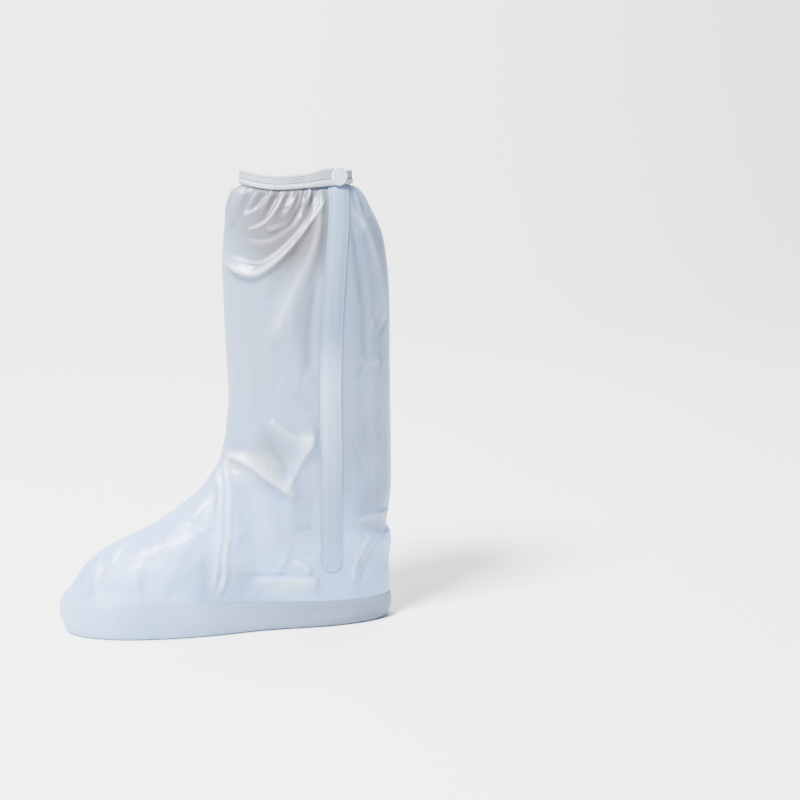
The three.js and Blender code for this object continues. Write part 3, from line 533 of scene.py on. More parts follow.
def gather_lift(theta, z):
    """The gathers below the binding. Their pitch and height vary, and they lean as they fall."""
    below = np.clip(BINDING_FOOT - z, 0, GATHER_REACH)
    ending = 1 - smooth(GATHER_START, GATHER_REACH, below)
    turn = theta + GATHER_LEAN * below * np.sin(theta) / GATHER_REACH
    phase = GATHER_COUNT * turn + waves(PITCH_WAVES, turn)
    wave = 1 - 2 * np.abs(np.sin(phase / 2)) ** 1.4
    strength = 0.8 + waves(STRENGTH_WAVES, turn)
    return GATHER_HEIGHT * smooth(0, GATHER_START, below) * ending**1.6 * wave * strength


def looseness(theta, x, z):
    """How freely the film folds: not at all under the flap or inside the sole and the binding."""
    side = mix_side(x)
    free = smooth(side, side + FREE_ABOVE_SOLE, z)
    free = free * smooth(0, FREE_BELOW_BINDING, BINDING_FOOT - z)
    beside = smooth(*FREE_BESIDE_FLAP, np.abs(x - flap_x(z)) - FLAP_WIDTH / 2)
    beside = np.where(z > FLAP_FOOT - FREE_UNDER_FLAP, beside, 1)
    return free * np.where(np.sin(theta) > 0, beside, 1)


def mix_side(x):
    """The height of the sole's side at x."""
    return lerp(FOXING_HEIGHT, FOXING_HEEL, smooth(-0.5, 0.5, x / FOOT_LENGTH))


def film_lift(side, theta, z):
    """How far folds, gathers and wrinkles lift the film, and the tone of folds and gathers: thicker film
    with a painted highlight, a painted shade in hollows.
    """
    x = smooth_film(theta, z)[..., 0]
    from_seam = smooth(0, FREE_FROM_SEAM, np.abs(np.sin(theta)))
    folds, thick_and_shade = fold_lift(side, x, z)
    gathers = gather_lift(theta, z)
    free = looseness(theta, x, z)
    lift = gathers + (folds + wrinkle_lift(side, x, z)) * from_seam
    return lift * free, (thick_and_shade * from_seam + GATHER_THICK_AND_SHADE * gathers / GATHER_HEIGHT) * free


def stood(name, data):
    """A new object in the scene."""
    thing = bpy.data.objects.new(name, data)
    bpy.context.scene.collection.objects.link(thing)
    return thing


def made(name, vertices, faces, uvs=None, thickness_and_shade=None):
    """A piece of the cover, from millimetres of the drawing to metres of the frame."""
    mesh = bpy.data.meshes.new(name)
    mesh.from_pydata((np.asarray(vertices, float) / 1000 + SHIFT).tolist(), [], faces)
    mesh.validate()
    if uvs is not None:
        layer = mesh.uv_layers.new(name="lay")
        loops = np.empty(len(mesh.loops), int)
        mesh.loops.foreach_get("vertex_index", loops)
        layer.data.foreach_set("uv", np.asarray(uvs, np.float32)[loops].ravel())
    # The fold tone: thicker film with a painted highlight, and a painted shade in hollows
    if thickness_and_shade is not None:
        shares = np.asarray(thickness_and_shade, np.float32)
        mesh.attributes.new("thickness_and_shade", "FLOAT", "POINT").data.foreach_set("value", shares)
    mesh.shade_smooth()
    return stood(name, mesh)


def grid_faces(rows, columns, start=0, flip=False, close=False, joined=False):
    """Faces of a grid of points. close adds those from its last column to its first, and joined
    those from its last row to its first."""
    index = start + np.arange(rows * columns).reshape(rows, columns)
    if close:
        index = np.append(index, index[:, :1], axis=1)
    if joined:
        index = np.append(index, index[:1], axis=0)
    corners = [index[:-1, :-1], index[:-1, 1:], index[1:, 1:], index[1:, :-1]]
    if flip:
        corners = [corners[k] for k in (0, 3, 2, 1)]
    return np.stack(corners, axis=-1).reshape(-1, 4).tolist()


def stacked_faces(rows, columns, start=0, flip=False):
    """Faces through a stack of rings, with both ends filled."""
    bottom = range(start, start + columns)
    top = range(start + (rows - 1) * columns, start + rows * columns)
    first, last = (bottom, reversed(top)) if flip else (reversed(bottom), top)
    return grid_faces(rows, columns, start, flip, close=True) + [list(first), list(last)]


def slab(name, outer, inner, uv, thick_and_shade=None):
    """A closed solid between two sheets of points, with rows upwards and columns round."""
    rows, columns = outer.shape[:2]
    count = rows * columns
    faces = grid_faces(rows, columns) + grid_faces(rows, columns, count, flip=True)
    index = np.arange(count).reshape(rows, columns)
    sides = [index[0], index[1:, -1], index[-1, -2::-1], index[-2:0:-1, 0]]
    edge = np.concatenate(sides).tolist()
    faces += [(count + a, count + b, b, a) for a, b in zip(edge, edge[1:] + edge[:1])]
    points = np.concatenate([outer.reshape(-1, 3), inner.reshape(-1, 3)])
    uvs = np.concatenate([uv.reshape(-1, 2)] * 2)
    thickness_and_shade = None if thick_and_shade is None else np.concatenate([thick_and_shade.ravel()] * 2)
    return made(name, points, faces, uvs, thickness_and_shade)


def film_rows():
    """Heights of the film's rows, closest together under the binding."""
    low = SOLE_THICKNESS + GAP
    crowded = BINDING_FOOT - CROWDED_REACH
    lower_rows = PANEL_ROWS - CROWDED_ROWS - HIDDEN_ROWS
    lower = np.linspace(low, crowded, lower_rows, endpoint=False)
    upper = np.linspace(crowded, BINDING_FOOT, CROWDED_ROWS, endpoint=False)
    return np.concatenate([lower, upper, np.linspace(BINDING_FOOT, FILM_TOP, HIDDEN_ROWS)])


def make_panel(side):
    start = 0 if side < 0 else math.pi
    turns = start + np.linspace(0, math.pi, PANEL_COLUMNS)
    theta, z = np.meshgrid(turns, film_rows())
    lift, thick_and_shade = film_lift(side, theta, z)
    normal = film_normal(theta, z)
    base = smooth_film(theta, z)
    outer = base + normal * lift[..., None]
    inner = outer - normal * FILM_SHOWN
    for sheet in (outer, inner):
        for j in (0, -1):
            sheet[:, j, 1] = base[:, j, 1] + side * SEAM_GAP
    uv = np.stack([theta / (2 * math.pi), z / BOOT_HEIGHT], axis=-1)
    return slab("film_lateral" if side < 0 else "film_medial", outer, inner, uv, thick_and_shade)


def ring_turns():
    return np.linspace(0, 2 * math.pi, RING_COLUMNS, endpoint=False)


def ring_piece(name, rows, uvs, joined):
    """A piece swept round the cover: rows of points, each of them once round. The last row is
    joined to the first, or else both are filled."""
    rows, uvs = np.array(rows), np.array(uvs)
    size = rows.shape[:2]
    faces = grid_faces(*size, close=True, joined=True) if joined else stacked_faces(*size)
    return made(name, rows.reshape(-1, 3), faces, uvs.reshape(-1, 2))


def make_sole():
    """The floor and the side that turns up, with a soft edge below and a thin lip above."""
    free = CURVED_GAP
    out = free + FOXING_WALL
    r = SOLE_ROUND
    quarter = np.linspace(0, math.pi / 2, 8)
    # Each point of the profile: how far out, how far up, and the share of the side's height
    # that is added to that.
    bends = [(out - r * (1 - math.sin(a)), r * (1 - math.cos(a)), 0) for a in quarter]
    wall = [(out, 0, k) for k in (0.3, 0.45, 0.6, 0.72)]
    lip = [(out - 0.1, -6, 1), (out - 0.5, -3.6, 1), (out - 1.1, -1.6, 1)]
    lip += [(free + 0.5, -0.4, 1), (free + 0.1, 0.2, 1), (free - 0.5, 0.1, 1)]
    floor = [(free, 0, 0.5), (free, SOLE_THICKNESS + 1, 0), (free - 1, SOLE_THICKNESS, 0)]
    profile = np.array([*bends, *wall, *lip, *floor])
    theta = ring_turns()
    side = mix_side(smooth_film(theta, FOXING_HEIGHT / 2)[:, 0])
    base = smooth_film(theta, EMBOSS_LEVEL)
    runs = run_along(profile[:, :2] + profile[:, 2:] * (0, FOXING_HEIGHT))
    rows = [pushed_level(theta, up + share * side, offset) for offset, up, share in profile]
    uvs = np.stack(np.meshgrid(run_along(base), runs), axis=-1) / EMBOSS_PITCH
    return ring_piece("sole_and_foxing", rows, uvs, joined=False)


def rim_point(theta, z, offset):
    """Points at the rim, level with z and pushed out from the film's top edge."""
    p = pushed_level(theta, FILM_TOP, offset)
    p[..., 2] = z - sag(theta, FILM_TOP)
    return p


def tape_face(up):
    """How far the tape's outer face stands out at a share of its height: a roll, then ribs."""
    roll_share = ROLL_HEIGHT / BINDING_HEIGHT
    if up < roll_share:
        return ROLL_BULGE * math.sin(math.pi * up / roll_share) ** 0.7 - ROLL_SINK
    ribs = (up - roll_share) / (1 - roll_share)
    return RIB_DEPTH * math.sin(math.pi * RIB_COUNT * ribs) ** 2 - RIB_DEPTH * 0.5


def make_binding():
    """The folded tape: ribbed elastic above, a stitched groove, and a soft roll below."""
    outside = GAP + BINDING_LEG
    inside = -FILM_WALL - GAP - BINDING_LEG
    middle, reach = (outside + inside) / 2, (outside - inside) / 2
    shares = []
    for up in np.linspace(BINDING_EDGE, BINDING_SHOULDER, 56):
        shares.append((outside + tape_face(up), up))
    for a in np.linspace(0, math.pi, 13)[1:-1]:
        up = BINDING_SHOULDER + (1 - BINDING_SHOULDER) * math.sin(a)
        shares.append((middle + reach * math.cos(a), up))
    for up in np.linspace(BINDING_SHOULDER, BINDING_EDGE, 30):
        shares.append((inside - tape_face(up) * 0.5, up))
    slot = [(-FILM_WALL - GAP, 0), (-FILM_WALL - GAP, 1), (GAP, 1), (GAP, 0)]
    profile = [(offset, share * BINDING_HEIGHT) for offset, share in shares] + slot
    theta = ring_turns()
    pucker = PUCKER * np.sin(GATHER_COUNT * theta + waves(PUCKER_WAVES, theta))
    pucker += FINE_PUCKER * np.sin(FINE_PUCKER_COUNT * theta)
    rows, uvs = [], []
    for offset, up in profile:
        soft = 1.0 if offset > outside - 0.6 and up < ROLL_HEIGHT else 0.35
        rows.append(rim_point(theta, BINDING_FOOT + up, offset + pucker * soft))
        uvs.append(np.stack([theta, np.full(theta.shape, up / BINDING_HEIGHT)], axis=-1))
    return ring_piece("binding_tape", rows, uvs, joined=True)


UP = np.array([0, 0, 1.0])


def circle(sides, radius, across):
    """Points of an upright circle round the origin."""
    a = 2 * math.pi * np.arange(sides)[:, None] / sides
    return radius * (np.cos(a) * across + np.sin(a) * UP)


def make_stitches():
    """A row of short threads in the binding's groove."""
    theta = np.linspace(0, 2 * math.pi, 4000)
    line = rim_point(theta, BINDING_FOOT + ROLL_HEIGHT + 0.15, GAP + BINDING_LEG + 0.02)
    run = run_along(line)
    sides, caps = 6, [(-0.5, 0.3), (-0.42, 0.8), (0, 1.0), (0.42, 0.8), (0.5, 0.3)]
    rings, faces = [], []
    for start in np.arange(0, run[-1], STITCH_PITCH):
        places = [start + k * STITCH_LENGTH for k in (-0.5, 0, 0.5)]
        spot = np.stack([np.interp(places, run, line[:, a]) for a in range(3)], axis=-1)
        way = unit(spot[2] - spot[0])
        out = np.cross(way, UP)
        faces += stacked_faces(len(caps), sides, len(rings) * sides)
        for along, wide in caps:
            middle = spot[1] + way * along * STITCH_LENGTH
            rings.append(middle + circle(sides, STITCH_RADIUS * wide, out))
    return made("binding_stitches", np.concatenate(rings), faces)


def make_flap():
    """The strip over the opening: a flattened weld along each edge and a soft hump between."""
    top = BINDING_FOOT - GAP
    radius = FLAP_WIDTH / 2
    ends = FLAP_FOOT + radius * (1 - np.cos(np.linspace(0.12, math.pi / 2, 14)))
    heights = np.concatenate([ends, np.linspace(FLAP_FOOT + radius, top, 200)[1:]])
    across = np.concatenate([[-1, -0.985, -0.95], np.linspace(-0.9, 0.9, 25), [0.95, 0.985, 1]])
    s, z = np.meshgrid(across, heights)
    drop = np.clip((FLAP_FOOT + radius - z) / radius, 0, 1)
    half = radius * np.sqrt(np.maximum(1 - drop**2, 0.004))
    theta = turn_at(flap_x(z) + s * half, z)
    edge = np.maximum(np.abs(s), drop**0.5 * 0.999)
    inner_edge = 1 - FLAP_WELD
    hump = FLAP_HUMP * smooth(inner_edge, inner_edge - 0.55, edge)
    weld = FLAP_WELD_DEPTH * np.exp(-(((edge - inner_edge) / 0.05) ** 2))
    brim = FLAP_BRIM_DEPTH * smooth(0.93, 1.0, edge)
    slack = 1 + 0.3 * waves(FLAP_WAVES, z)
    height = CURVED_GAP + FLAP_THICKNESS + hump * slack - weld - brim
    normal = film_normal(theta, z)
    base = smooth_film(theta, z)
    outer = base + normal * height[..., None]
    inner = base + normal * CURVED_GAP
    return slab("flap_strip", outer, inner, np.stack([s, z / BOOT_HEIGHT], axis=-1))


TAB_MIDDLE = BINDING_FOOT + TAB_HEIGHT / 2
RIM_SECTION = section_at(float(FILM_TOP))
SNAP_X = RIM_SECTION["front"] + SNAP_PLACE * RIM_SECTION["length"]
SNAP_TURN = float(turn_at(SNAP_X, FILM_TOP))


def along_rim(distance, z, offset):
    """Points outside the binding at this distance along the rim from the snap."""
    step = 0.02
    ends = smooth_film(np.array([SNAP_TURN - step, SNAP_TURN + step]), FILM_TOP)
    speed = np.linalg.norm(ends[1] - ends[0]) / (2 * step)
    theta = SNAP_TURN + np.asarray(distance, float) / speed
    return rim_point(theta, z, offset)


def make_tab():
    """The tape's free end, lapped over the opening, with the binding's ribs along it."""
    radius = TAB_HEIGHT / 2
    straight = TAB_REACH - radius
    bends = straight + radius * np.sin(np.radians(np.linspace(5, 87, 16)))
    along = np.concatenate([np.linspace(-TAB_LENGTH, straight, 34), bends])
    across = np.concatenate([[-1, -0.97, -0.92], np.linspace(-0.86, 0.86, 49), [0.92, 0.97, 1]])
    distance, s = np.meshgrid(along, across)
    past = np.maximum(0, distance - straight)
    widening = smooth(-TAB_LENGTH, -TAB_LENGTH * 0.4, distance)
    flat_half = lerp(BINDING_HEIGHT / 2, radius, widening)
    round_half = np.sqrt(np.maximum(radius**2 - past**2, 0.05))
    half = np.where(past > 0, round_half, flat_half)
    z = np.where(past > 0, TAB_MIDDLE, BINDING_FOOT + half) + s * half
    under = GAP + BINDING_LEG + CURVED_GAP
    face = np.array([tape_face(min(max((k + 1) / 2, 0.001), 0.999)) for k in across])
    brim = 0.5 * smooth(0.86, 1.0, np.maximum(np.abs(s), past / radius))
    start = 0.9 * (1 - smooth(-TAB_LENGTH, -TAB_LENGTH + 5, distance))
    outer = along_rim(distance, z, under + TAB_THICKNESS + face[:, None] * 0.7 - brim - start)
    inner = along_rim(distance, z, under)
    return slab("tab_tape", outer, inner, np.stack([distance, (s + 1) / 2], axis=-1))


def turned(name, profile, offset, outward):
    """A round piece turned from [radius, height] pairs, set on the rim's normal at the snap."""
    sides = 72
    centre = along_rim(0, TAB_MIDDLE, offset)
    n = film_normal(SNAP_TURN, FILM_TOP)
    n[2] = 0
    n = unit(n)
    right = np.cross(n, UP)
    rings = []
    for radius, rise in profile:
        rings.append(centre + circle(sides, max(radius, 0.02), right) + n * outward * rise)
    faces = stacked_faces(len(profile), sides, flip=outward > 0)
    return made(name, np.concatenate(rings), faces)


def make_snap_cap():
    """A disc with a round edge, a shallow dish and a low dome in it."""
    r, t = SNAP_DIAMETER / 2, SNAP_THICKNESS
    dome_edge = 0.74
    turns = np.linspace(-1.2, 1.57, 12)
    edge = [(0.93 + 0.07 * math.cos(a), 0.62 + 0.38 * math.sin(a)) for a in turns]
    dish = [(0.86, 0.99), (0.8, 0.95), (dome_edge, 0.93)]
    dome = [(k, 0.93 + 0.1 * (1 - (k / dome_edge) ** 2)) for k in (0.65, 0.5, 0.3, 0.1, 0)]
    shares = [(0, 0), (0.88, 0), *edge, *dish, *dome]
    profile = [(r * across, t * up) for across, up in shares]
    return turned("snap_button", profile, GAP + BINDING_LEG + CURVED_GAP + TAB_THICKNESS + GAP, 1)


def make_snap_socket():
    """A flat ring with a hollow middle, free of the curved binding behind it."""
    r, t = SOCKET_DIAMETER / 2, SOCKET_THICKNESS
    hollow = r**2 / RIM_WIDTH
    shares = [(0, 0), (0.95, 0), (1, 0.25), (0.97, 0.6), (0.85, 0.8), (0.6, 1), (0.46, 0.95)]
    shares += [(0.42, 0.5), (0, 0.5)]
    profile = [(r * across, t * up) for across, up in shares]
    return turned("snap_back", profile, -FILM_WALL - 2 * GAP - BINDING_LEG - hollow, -1)


# Materials


class Look:
    """A new material, with short calls that add its nodes and give their outputs. Where a call
    takes a value, it is a number, a tuple or another node's output."""

    def __init__(self, name):
        self.material = bpy.data.materials.new(name)
        self.material.use_nodes = True
        self.nodes = self.material.node_tree.nodes
        self.shader = self.nodes["Principled BSDF"]

    def feed(self, node, inputs):
        for name, value in inputs.items():
            socket = node.inputs[name]
            if isinstance(value, bpy.types.NodeSocket):
                self.material.node_tree.links.new(value, socket)
            elif socket.type == "RGBA":
                socket.default_value = (*value, 1)
            else:
                socket.default_value = value

    def surface(self, inputs):
        self.feed(self.shader, inputs)

    def add(self, kind, inputs, output, **settings):
        node = self.nodes.new(kind)
        for name, value in settings.items():
            setattr(node, name, value)
        self.feed(node, inputs)
        return node.outputs[output]

    def place(self, kind):
        return self.add("ShaderNodeTexCoord", {}, kind)

    def axis(self, vector, letter):
        return self.add("ShaderNodeSeparateXYZ", {"Vector": vector}, letter)

    def math(self, operation, *values, kind="ShaderNodeMath", output="Value"):
        return self.add(kind, dict(enumerate(values)), output, operation=operation)

    def vector(self, operation, *values, output="Vector"):
        return self.math(operation, *values, kind="ShaderNodeVectorMath", output=output)

    def noise(self, vector, scale, detail):
        inputs = {"Vector": vector, "Scale": scale, "Detail": detail}
        return self.add("ShaderNodeTexNoise", inputs, "Fac")

    def mapped(self, value, low, high, first, last, kind="LINEAR"):
        inputs = {"Value": value, "From Min": low, "From Max": high}
        inputs.update({"To Min": first, "To Max": last})
        return self.add("ShaderNodeMapRange", inputs, "Result", interpolation_type=kind)

    def stepped(self, value, low, high, top):
        """A soft step from 0 at low to top at high."""
        return self.mapped(value, low, high, 0.0, top, "SMOOTHSTEP")

    def mixed(self, share, first, second):
        inputs = {"Factor": share, 6: first, 7: second}
        return self.add("ShaderNodeMix", inputs, 2, data_type="RGBA")

    def ramp(self, value, stops):
        node = self.nodes.new("ShaderNodeValToRGB")
        elements = node.color_ramp.elements
        while len(elements) < len(stops):
            elements.new(0.5)
        for element, (place, colour) in zip(elements, stops):
            element.position = place
            element.color = (*colour, 1)
        self.feed(node, {"Fac": value})
        return node.outputs["Color"]

    def bump(self, height, strength, distance):
        """Bumps on the surface. Distance is in metres."""
        inputs = {"Height": height, "Strength": strength, "Distance": distance}
        normal = self.add("ShaderNodeBump", inputs, "Normal")
        self.surface({"Normal": normal})
        return normal


def place_mask(look, spot, centre, radii):
    """1 near a centre and 0 outside an ellipse in the side view. Both are in millimetres."""
    moved = look.vector("SUBTRACT", spot, (centre[0] / 1000, 0, centre[1] / 1000))
    scaled = look.vector("MULTIPLY", moved, (1000 / radii[0], 0, 1000 / radii[1]))
    away = look.vector("LENGTH", scaled, output="Value")
    return look.mapped(away, MASK_CORE, 1.0, 1.0, 0.0, "SMOOTHSTEP")


def film_look(name, stops, clear, places=()):
    """Milky film: its colour follows the height; a few places are warmer and clearer, and it takes
    painted light and shade in places and on its folds.
    """
    look = Look(name)
    spot = look.place("Object")
    height = look.math("DIVIDE", look.axis(spot, "Z"), BOOT_HEIGHT / 1000)
    clouded = look.math("MULTIPLY_ADD", look.noise(spot, *CLOUD_NOISE), CLOUD_SHARE, height)
    drawn_up = look.vector("MULTIPLY", spot, (1, 1, STREAK_STRETCH))
    streaks = look.stepped(look.noise(drawn_up, *STREAK_NOISE), *STREAK_STEP)
    colour = look.mixed(streaks, look.ramp(clouded, stops), DEEP_STREAK_AND_SHADE)
    clearness = 0.0
    # Painted light and shade in a few places, and the warm inside, partly a painted shade, with clearer
    # film
    for row in places:
        here = dict(zip(PLACE_COLUMNS, row))
        mask = place_mask(look, spot, here["centre"], here["radii"])
        share = look.math("MULTIPLY", mask, here["share"])
        colour = look.mixed(share, colour, here["colour"])
        if here["clear"]:
            clearness = look.math("MULTIPLY_ADD", mask, here["clear"], clearness)
    passing = clear[0]
    if places:
        # Folds: whiter where the film lies double, with a painted highlight, and a painted shade in
        # hollows
        thick_and_shade = look.add("ShaderNodeAttribute", {}, "Fac", attribute_name="thickness_and_shade")
        colour = look.mixed(look.stepped(thick_and_shade, *FOLD_STEP), colour, FOLD_WHITE_AND_HIGHLIGHT)
        colour = look.mixed(look.stepped(thick_and_shade, *HOLLOW_SHADE_STEP), colour, HOLLOW_SHADE)
        passing = look.mapped(clearness, 0.0, 1.0, *clear)
    look.surface({"Base Color": colour, "Transmission Weight": passing})
    look.surface({"Roughness": 0.48, "IOR": 1.4, "Coat Weight": 0.5, "Coat Roughness": 0.3})
    fine, wavy = look.noise(spot, *FINE_NOISE), look.noise(spot, *WAVY_NOISE)
    normal = look.bump(look.math("MULTIPLY_ADD", fine, FINE_SHARE, wavy), 0.25, 0.0012)
    look.surface({"Coat Normal": normal})
    return look


def flap_look():
    """The flap's film, with a painted shade in the groove of each weld and a painted shadow along each
    edge.
    """
    look = film_look("flap_film", FLAP_STOPS, (0.1, 0.1))
    base = look.shader.inputs["Base Color"].links[0].from_socket
    stops = [(place, (share,) * 3) for place, share in FLAP_EDGE_SHADE_STOPS]
    # A painted shade in the weld grooves and a painted shadow along the edges
    weld = look.ramp(look.math("ABSOLUTE", look.axis(look.place("UV"), "X")), stops)
    look.surface({"Base Color": look.mixed(weld, base, FLAP_EDGE_SHADE_COLOUR)})
    return look


def sole_look():
    """Thicker vinyl with a fine crossed emboss laid along the side. A painted shade darkens it to the
    heel.
    """
    look = Look("sole_vinyl")
    lay, spot = look.place("UV"), look.place("Object")
    slants = []
    for operation in ("ADD", "SUBTRACT"):
        lines = look.math(operation, look.axis(lay, "X"), look.axis(lay, "Y"))
        slants.append(look.math("SINE", look.math("MULTIPLY", lines, 2 * math.pi)))
    look.bump(look.math("MAXIMUM", *slants), 0.9, 0.0005)
    cloud = look.noise(spot, *SOLE_NOISE)
    colour = look.ramp(cloud, [(0.3, SOLE_DEEP), (0.7, SOLE_LIGHT)])
    # A painted shade toward the heel
    heel_shade = look.stepped(look.axis(spot, "X"), *SOLE_HEEL_SHADE_STEP)
    look.surface({"Base Color": look.mixed(heel_shade, colour, SOLE_HEEL_SHADE)})
    look.surface({"Roughness": 0.42, "Coat Weight": 0.3, "Coat Roughness": 0.3})
    return look


def plain_look(name, colour, roughness):
    look = Look(name)
    look.surface({"Base Color": colour, "Roughness": roughness})
    return look


def tape_look():
    """Matt tape: a pale roll below, a stitched groove darkened with a painted shade, greyer ribs and a
    pale upper edge.
    """
    look = Look("white_tape")
    # The dark band is a painted shade in the stitched groove
    bands = look.ramp(look.axis(look.place("UV"), "Y"), TAPE_STOPS_WITH_GROOVE_SHADE)
    look.surface({"Base Color": bands, "Roughness": 0.75})
    look.bump(look.noise(look.place("Object"), *WEAVE_NOISE), 0.4, 0.0003)
    return look


# The frame's shift: the sole's box gives the place of the drawing's heel and middle.
def frame_shift():
    ring = pushed_level(ring_turns(), SOLE_ROUND, CURVED_GAP + FOXING_WALL) / 1000
    shift = np.mean(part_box("sole"), axis=0) - (ring.min(axis=0) + ring.max(axis=0)) / 2
    shift[2] = 0
    return shift


SHIFT = frame_shift()

# Colours of the film by height, as shares of BOOT_HEIGHT
FILM_STOPS = [
    (0.05, (0.35, 0.57, 0.98)),
    (0.3, (0.32, 0.51, 0.88)),
    (0.45, (0.23, 0.34, 0.53)),
    (0.7, (0.22, 0.31, 0.46)),
    (1.0, (0.22, 0.3, 0.44)),
]
FLAP_STOPS = [
    (0.1, (0.28, 0.45, 0.74)),
    (0.2, (0.2, 0.33, 0.55)),
    (0.33, (0.18, 0.28, 0.46)),
    (0.46, (0.27, 0.38, 0.56)),
    (0.6, (0.38, 0.53, 0.78)),
    (0.72, (0.16, 0.25, 0.41)),
    (0.85, (0.22, 0.32, 0.48)),
    (1.0, (0.24, 0.34, 0.52)),
]
FLAP_EDGE_SHADE_COLOUR = (0.13, 0.2, 0.34)
# How much of that painted shade shows, from the flap's middle to its edge: in the weld's groove and
# along the edge
FLAP_EDGE_SHADE_STOPS = [(0, 0), (0.72, 0), (0.79, 0.5), (0.84, 0), (0.93, 0), (0.98, 0.9)]
SOLE_DEEP = (0.27, 0.44, 0.74)
SOLE_LIGHT = (0.38, 0.58, 0.92)
# A painted shade that darkens the sole toward the heel
SOLE_HEEL_SHADE = (0.12, 0.17, 0.25)
SOLE_HEEL_SHADE_STEP = (-0.13, 0.09, 0.9)  # from and to this x in metres, and how much in the end
# Colours across the tape, as shares of its height; the dark stops are a painted shade in the stitched
# groove
TAPE_STOPS_WITH_GROOVE_SHADE = [
    (0.0, (0.36, 0.4, 0.42)),
    (0.3, (0.42, 0.46, 0.48)),
    (0.36, (0.16, 0.18, 0.2)),
    (0.41, (0.16, 0.18, 0.2)),
    (0.46, (0.3, 0.33, 0.35)),
    (0.86, (0.26, 0.295, 0.32)),
    (0.93, (0.42, 0.46, 0.48)),
]
FOLD_WHITE_AND_HIGHLIGHT = (0.74, 0.84, 0.96)  # where the film folds on itself and is thicker, with a painted highlight on the fold's faces
# A painted shade in the hollows of folds and gathers
HOLLOW_SHADE = (0.13, 0.18, 0.27)
# Place colours: the dark warm inside, partly a painted shade; a painted light; and a deep blue for the
# film's streaks and for painted shade
WARM_INSIDE_AND_SHADE = (0.15, 0.125, 0.12)
PALE_PAINTED_LIGHT = (0.62, 0.66, 0.7)
DEEP_STREAK_AND_SHADE = (0.12, 0.17, 0.27)

# Steps: where a look begins, where it is whole, and its share there
FOLD_STEP = (0.1, 1.0, 0.7)
HOLLOW_SHADE_STEP = (-0.05, -0.8, 0.6)
STREAK_STEP = (0.45, 0.75, 0.3)
MASK_CORE = 0.35  # share of a place's radii within which it is whole

# Noises: scale and detail
CLOUD_NOISE = (12, 3)
CLOUD_SHARE = 0.1
STREAK_NOISE = (70, 3)
STREAK_STRETCH = 0.12  # the streaks are drawn out upward, as in rolled film
FINE_NOISE = (900, 2)
FINE_SHARE = 0.06
WAVY_NOISE = (60, 2)
SOLE_NOISE = (16, 3)
WEAVE_NOISE = (1600, 2)

# Places where the film is clearer and takes up the dark warm inside, partly a painted shade; where it is
# paler, a painted light; and where it is darker, a painted shade.
# centre and radii: x and z in millimetres in the side view.
# share: how much of the colour shows. clear: how much clearer the film is.
PLACE_COLUMNS = ("centre", "radii", "colour", "share", "clear")
PLACES = [
    ((44, 366), (60, 64), WARM_INSIDE_AND_SHADE, 0.85, 0.85),
    ((28, 158), (22, 34), WARM_INSIDE_AND_SHADE, 0.4, 0.25),
    ((52, 105), (30, 44), WARM_INSIDE_AND_SHADE, 0.15, 0.15),
    ((16, 150), (34, 18), PALE_PAINTED_LIGHT, 0.4, 0),
    ((46, 41), (24, 10), PALE_PAINTED_LIGHT, 0.45, 0),
    ((68, 112), (26, 40), DEEP_STREAK_AND_SHADE, 0.3, 0),
    ((116, 142), (52, 66), DEEP_STREAK_AND_SHADE, 0.45, 0),
    ((-16, 44), (48, 30), DEEP_STREAK_AND_SHADE, 0.45, 0),
    ((62, 282), (22, 44), DEEP_STREAK_AND_SHADE, 0.35, 0),
    ((112, 40), (66, 44), DEEP_STREAK_AND_SHADE, 0.3, 0),
    ((132, 106), (38, 36), DEEP_STREAK_AND_SHADE, 0.6, 0),
]


def build():
    film = film_look("milky_film", FILM_STOPS, (0.22, 0.45), PLACES)
    flap = flap_look()
    tape = tape_look()
    thread = plain_look("thread", (0.24, 0.27, 0.3), 0.8)
    snap = plain_look("snap_white", (0.62, 0.67, 0.7), 0.32)
    pieces = [
        (make_panel(-1), film, "lateral_panel", "film"),
        (make_panel(1), film, "medial_panel", "film"),
        (make_sole(), sole_look(), "sole", "sole_vinyl"),
        (make_binding(), tape, "rim_binding", "binding_tape"),
        (make_stitches(), thread, None, "binding_tape"),
        (make_tab(), tape, "binding_tab", "binding_tape"),
        (make_snap_cap(), snap, "snap_cap", "snap_plastic"),
        (make_snap_socket(), snap, "snap_socket", "snap_plastic"),
        (make_flap(), flap, "zip_flap", "flap_film"),
    ]
    for piece, look, node, slot in pieces:
        piece.data.materials.append(look.material)
        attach(piece, "root")
        if node:
            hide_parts(node)


# Studio


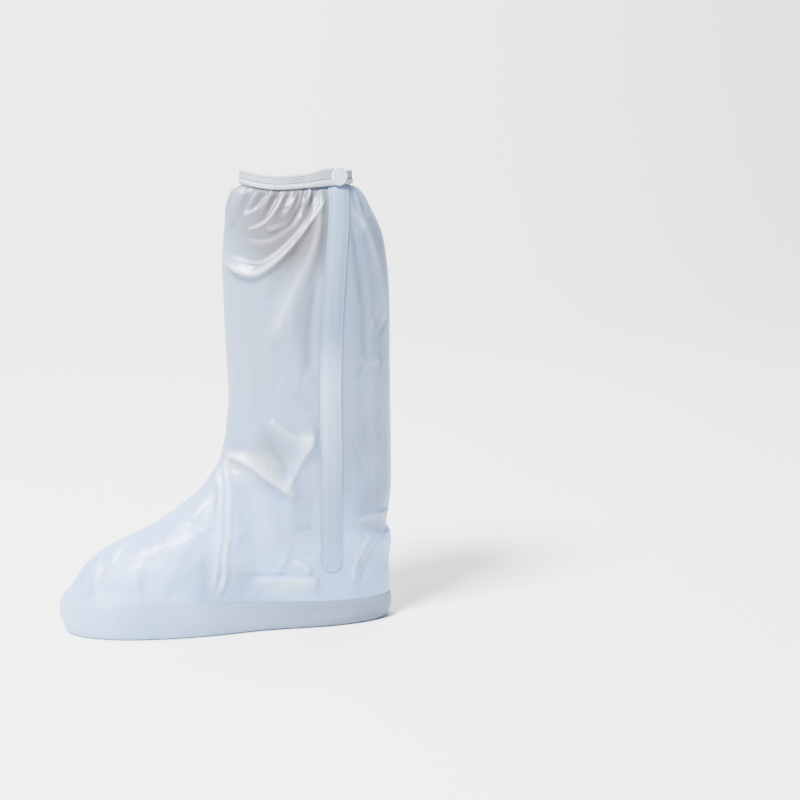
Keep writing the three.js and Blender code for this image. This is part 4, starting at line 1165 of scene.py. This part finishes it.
def make_floor():
    """A pale floor that curves up into a wall behind the cover. Its sizes are in metres."""
    reach, wall, bend, front, top = 6.0, 3.2, 1.2, -4.0, 5.0
    turns = [math.radians(90 * k / 12) for k in range(13)]
    curved = [(wall - bend + bend * math.sin(a), bend * (1 - math.cos(a))) for a in turns]
    line = [(front, 0.0), *curved, (wall, top)]
    vertices = [(x, y, z) for y, z in line for x in (-reach, reach)]
    faces = [(2 * i, 2 * i + 1, 2 * i + 3, 2 * i + 2) for i in range(len(line) - 1)]
    mesh = bpy.data.meshes.new("floor")
    mesh.from_pydata(vertices, [], faces)
    mesh.shade_smooth()
    floor = stood("floor", mesh)
    look = plain_look("floor_white", (0.9, 0.9, 0.9), 0.9)
    look.surface({"Specular IOR Level": 0.1})
    floor.data.materials.append(look.material)


def area_light(name, place, target, size, power, colour=(1, 1, 1)):
    light = bpy.data.lights.new(name, "AREA")
    light.energy = power
    light.size = size
    light.color = colour
    lamp = stood(name, light)
    lamp.location = place
    lamp.rotation_euler = (Vector(target) - Vector(place)).to_track_quat("-Z", "Y").to_euler()


def make_world(strength):
    world = bpy.data.worlds.new("studio")
    bpy.context.scene.world = world
    world.use_nodes = True
    background = world.node_tree.nodes["Background"]
    background.inputs["Color"].default_value = (0.8, 0.9, 1.0, 1)
    background.inputs["Strength"].default_value = strength


def make_camera():
    """A long lens level with the calf, a little ahead of the cover's side. The cover stands left
    of the middle of the picture, so the lens is shifted."""
    target, distance = Vector((0, 0, 0.2)), 1.6235
    ahead, above = math.radians(12.4), math.radians(9.39)
    level = math.cos(above)
    back = (-math.sin(ahead) * level, -math.cos(ahead) * level, math.sin(above))
    camera = bpy.data.cameras.new("camera")
    camera.lens = 81
    camera.sensor_width = 36
    camera.shift_x = 0.2135
    camera.shift_y = 0.008
    eye = stood("camera", camera)
    eye.location = target + distance * Vector(back)
    eye.rotation_euler = (math.pi / 2 - above, 0, -ahead)
    bpy.context.scene.camera = eye


def light_studio():
    middle = (0, 0, 0.2)
    area_light("key", (-1.15, -0.95, 2.2), middle, 0.7, 370)
    area_light("side", (1.7, -1.2, 0.8), middle, 1.0, 6, (0.55, 0.78, 1.0))
    area_light("wall", (0.3, 0.9, 2.9), (0.3, 3.2, 1.2), 1.6, 260)
    make_world(0.4)


build()
make_floor()
light_studio()
make_camera()
